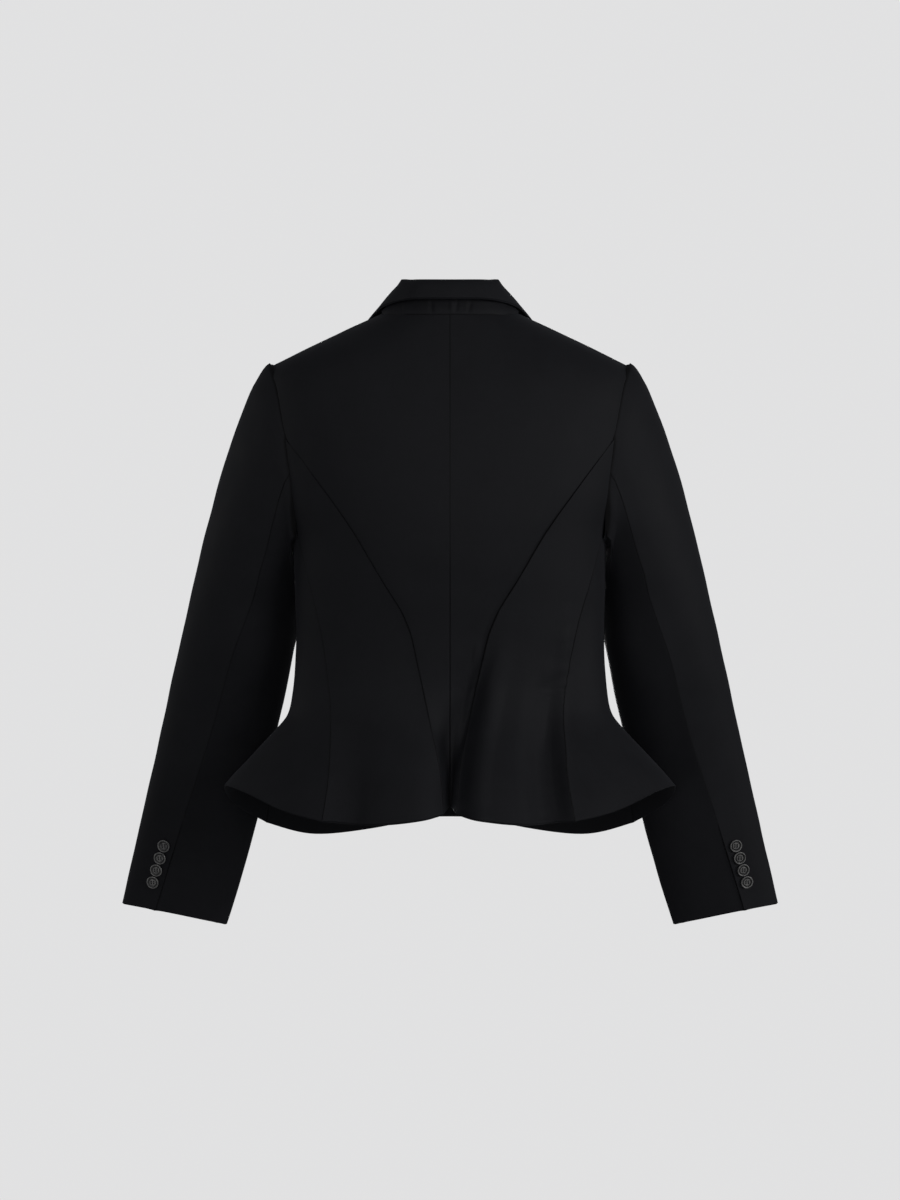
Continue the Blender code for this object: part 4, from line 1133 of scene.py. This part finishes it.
def black_thread(nap):
    """Black sewing thread, twisted, a little glossier than the cloth."""
    material, tree, shader = new_finish("black_thread", gloss=0.30)
    fluff = placed_group(
        tree, nap, Place=object_place(tree), Cloud_scale=1400.0, Fibre_scale=5200.0
    ).outputs
    colour = two_tones(tree, fluff["Cloud"], THREAD_DARK, THREAD_LIGHT)
    tree.links.new(colour, shader.inputs["Base Color"])
    set_roughness(tree, shader, fluff["Fibre"], low=0.45, high=0.65)
    set_relief(tree, shader, fluff["Fibre"], strength=0.5, distance=0.0001)
    return material


def select_faces(piece, test):
    """Selects, in edit mode, the faces that a test of middle and normal passes."""
    sheet = bmesh.from_edit_mesh(piece.data)
    for part in (sheet.verts, sheet.edges, sheet.faces):
        for element in part:
            element.select = False
    sheet.select_mode = {"FACE"}
    for face in sheet.faces:
        face.select_set(test(face.calc_center_median(), face.normal))
    sheet.select_flush_mode()
    bmesh.update_edit_mesh(piece.data)


def turned_button(radius, height, resin, thread):
    """One turned four-hole button, its seat at the origin, sewn on with two bars of thread."""
    deselect()
    foot = BUTTON_FOOT * radius
    first_rise = BUTTON_PROFILE[0][1] * height
    bpy.ops.mesh.primitive_cylinder_add(
        vertices=BUTTON_SIDES, radius=foot, depth=first_rise, location=(0, 0, 0.5 * first_rise)
    )
    piece = bpy.context.object
    apply_place()
    bpy.ops.object.mode_set(mode="EDIT")
    bpy.ops.mesh.select_mode(type="FACE")
    select_faces(piece, lambda middle, normal: normal.z > 0.9)
    last_reach, last_height = BUTTON_FOOT, BUTTON_PROFILE[0][1]
    for step, (reach, rise) in enumerate(BUTTON_PROFILE):
        if step:
            bpy.ops.mesh.extrude_region_move(
                TRANSFORM_OT_translate={"value": (0, 0, (rise - last_height) * height)}
            )
        grow = reach / last_reach
        bpy.ops.transform.resize(value=(grow, grow, 1.0), center_override=(0, 0, rise * height))
        last_reach, last_height = reach, rise
    bpy.ops.object.mode_set(mode="OBJECT")
    apply_modifier(
        piece, "BEVEL", width=BUTTON_BEVEL * radius, segments=2,
        limit_method="ANGLE", angle_limit=BUTTON_BEVEL_ANGLE,
    )
    apart = BUTTON_HOLE_APART * radius
    for x, y in ((1, 1), (1, -1), (-1, 1), (-1, -1)):
        deselect()
        bpy.ops.mesh.primitive_cylinder_add(
            vertices=BUTTON_HOLE_SIDES, radius=BUTTON_HOLE_SHARE * radius, depth=4 * height,
            location=(x * apart, y * apart, 0),
        )
        drill = bpy.context.object
        apply_place()
        apply_modifier(piece, "BOOLEAN", operation="DIFFERENCE", object=drill, solver="EXACT")
        bpy.data.objects.remove(drill)
    piece.data.materials.append(resin)
    # Painted highlight on the raised rims and middle, painted shade in the groove and on the low
    # sides, by radius and height.
    places = places_of(piece)
    shares, polish = zip(*BUTTON_LIGHT_AND_SHADE)
    raised = share((places[:, 2] / height - LIGHT_AND_SHADE_FOOT) / LIGHT_AND_SHADE_GROW)
    from_middle = np.hypot(places[:, 0], places[:, 1]) / radius
    layer = piece.data.attributes.new("polish", "FLOAT", "POINT")
    layer.data.foreach_set("value", raised * np.interp(from_middle, shares, polish))
    make_active(piece)
    bpy.ops.object.shade_smooth_by_angle(angle=BUTTON_SMOOTH)
    bars = []
    for x in (1, -1):
        deselect()
        middle = (x * apart, 0, SEWING_HEIGHT * height)
        bpy.ops.mesh.primitive_torus_add(
            major_radius=apart, minor_radius=SEWING_THREAD * radius, major_segments=20,
            minor_segments=8, location=middle, rotation=(0, math.radians(90), 0),
        )
        bar = bpy.context.object
        apply_place()
        bpy.ops.object.mode_set(mode="EDIT")
        bpy.ops.mesh.select_all(action="SELECT")
        bpy.ops.transform.resize(value=(1.0, 1.0, SEWING_FLAT), center_override=middle)
        bpy.ops.object.mode_set(mode="OBJECT")
        bar.data.materials.append(thread)
        bar.data.shade_smooth()
        bars.append(bar)
    make_active(piece)
    for bar in bars:
        bar.select_set(True)
    bpy.ops.object.join()
    return piece


def button_seat(node_name):
    """Where a button's solid stands: its seat and the way out of the cloth."""
    data = frame["nodes"][node_name].data
    places = np.array([vert.co for vert in data.vertices])
    middle = 0.5 * (places.min(axis=0) + places.max(axis=0))
    ways = np.linalg.svd(places - places.mean(axis=0), full_matrices=False)[2]
    normal = ways[2]
    side = 1 if "right" in node_name else -1
    guide = np.array((0.0, 1.0, 0.0))
    if node_name.startswith("cuff"):
        guide = sleeve_outwards(middle[None, :], side)[0][0]
    normal = normal if np.dot(normal, guide) > 0 else -normal
    reach = (places - middle) @ normal
    return Vector(middle + reach.min() * normal), Vector(normal)


def level_ways(normal):
    """The level way across a button, and the way up it."""
    across = Vector((0, 0, 1)).cross(normal).normalized()
    return across, normal.cross(across)


def cloth_lift(seat, normal, radius):
    """How far the finished cloth under a button stands above its solid's seat."""
    cloths = [piece for piece in bpy.data.objects if piece.name.startswith(BUTTON_CLOTHS)]
    across, upward = level_ways(normal)
    lift = 0.0
    for count in range(BUTTON_FEELERS):
        turn = 2.0 * math.pi * count / BUTTON_FEELERS
        rim = (across * math.cos(turn) + upward * math.sin(turn)) * radius
        start = seat + rim + normal * FEELER_HEIGHT
        for cloth in cloths:
            found, hit = cloth.ray_cast(start, -normal, distance=2.0 * FEELER_HEIGHT)[:2]
            if found:
                lift = max(lift, (hit - seat).dot(normal))
    return lift


def buttons(resin, thread):
    """The cuffs' and the front's buttons, copies of two turned ones, seated as their solids are."""
    small = turned_button(*CUFF_BUTTON, resin, thread)
    large = turned_button(*FRONT_BUTTON, resin, thread)
    for node_name in sorted(frame["nodes"]):
        if "button" not in node_name:
            continue
        pattern = small if node_name.startswith("cuff") else large
        piece = bpy.data.objects.new("turned_" + node_name, pattern.data.copy())
        bpy.context.collection.objects.link(piece)
        seat, normal = button_seat(node_name)
        radius = (CUFF_BUTTON if pattern is small else FRONT_BUTTON)[0]
        seat += normal * cloth_lift(seat, normal, radius)
        across, upward = level_ways(normal)
        turn = Matrix((across, upward, normal)).transposed().to_4x4()
        piece.data.transform(Matrix.Translation(seat) @ turn)
        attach(piece, "root")
        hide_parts(node_name)
    for pattern in (small, large):
        bpy.data.objects.remove(pattern)


def buttonholes(thread):
    """Worked buttonholes that show past the fastened buttons, laid on the right front."""
    front = bpy.data.objects["cloth_front_right"]
    for count, node_name in enumerate(BUTTONHOLE_NODES):
        seat = button_seat(node_name)[0]
        deselect()
        bpy.ops.mesh.primitive_torus_add(
            major_radius=BUTTONHOLE_HALF_WIDTH, minor_radius=BUTTONHOLE_THREAD, major_segments=40,
            minor_segments=8, rotation=(math.radians(90), 0, 0),
        )
        piece = bpy.context.object
        piece.name = "worked_buttonhole_%d" % (count + 1)
        apply_place()
        places = places_of(piece)
        half = 0.5 * BUTTONHOLE_LENGTH - BUTTONHOLE_HALF_WIDTH
        places[:, 0] += np.sign(places[:, 0]) * half
        places += np.array((seat.x + BUTTONHOLE_OFFSET, 0.0, seat.z))
        for row in places:
            start = Vector((row[0], AHEAD_OF_FRONT, row[2]))
            found, hit = front.ray_cast(start, Vector((0, -1, 0)))[:2]
            row[1] = BUTTONHOLE_RISE * row[1] + (hit.y if found else seat.y)
        set_places(piece, places)
        piece.data.shade_smooth()
        piece.data.materials.append(thread)
        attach(piece, "root")


photograph_camera()
pale_floor()
soft_lights()
nap = nap_group()
wool = black_wool(twill_group(), nap)
thread = black_thread(nap)
cloth_panels(wool)
buttons(dark_resin(resin_streaks_group()), thread)
buttonholes(thread)
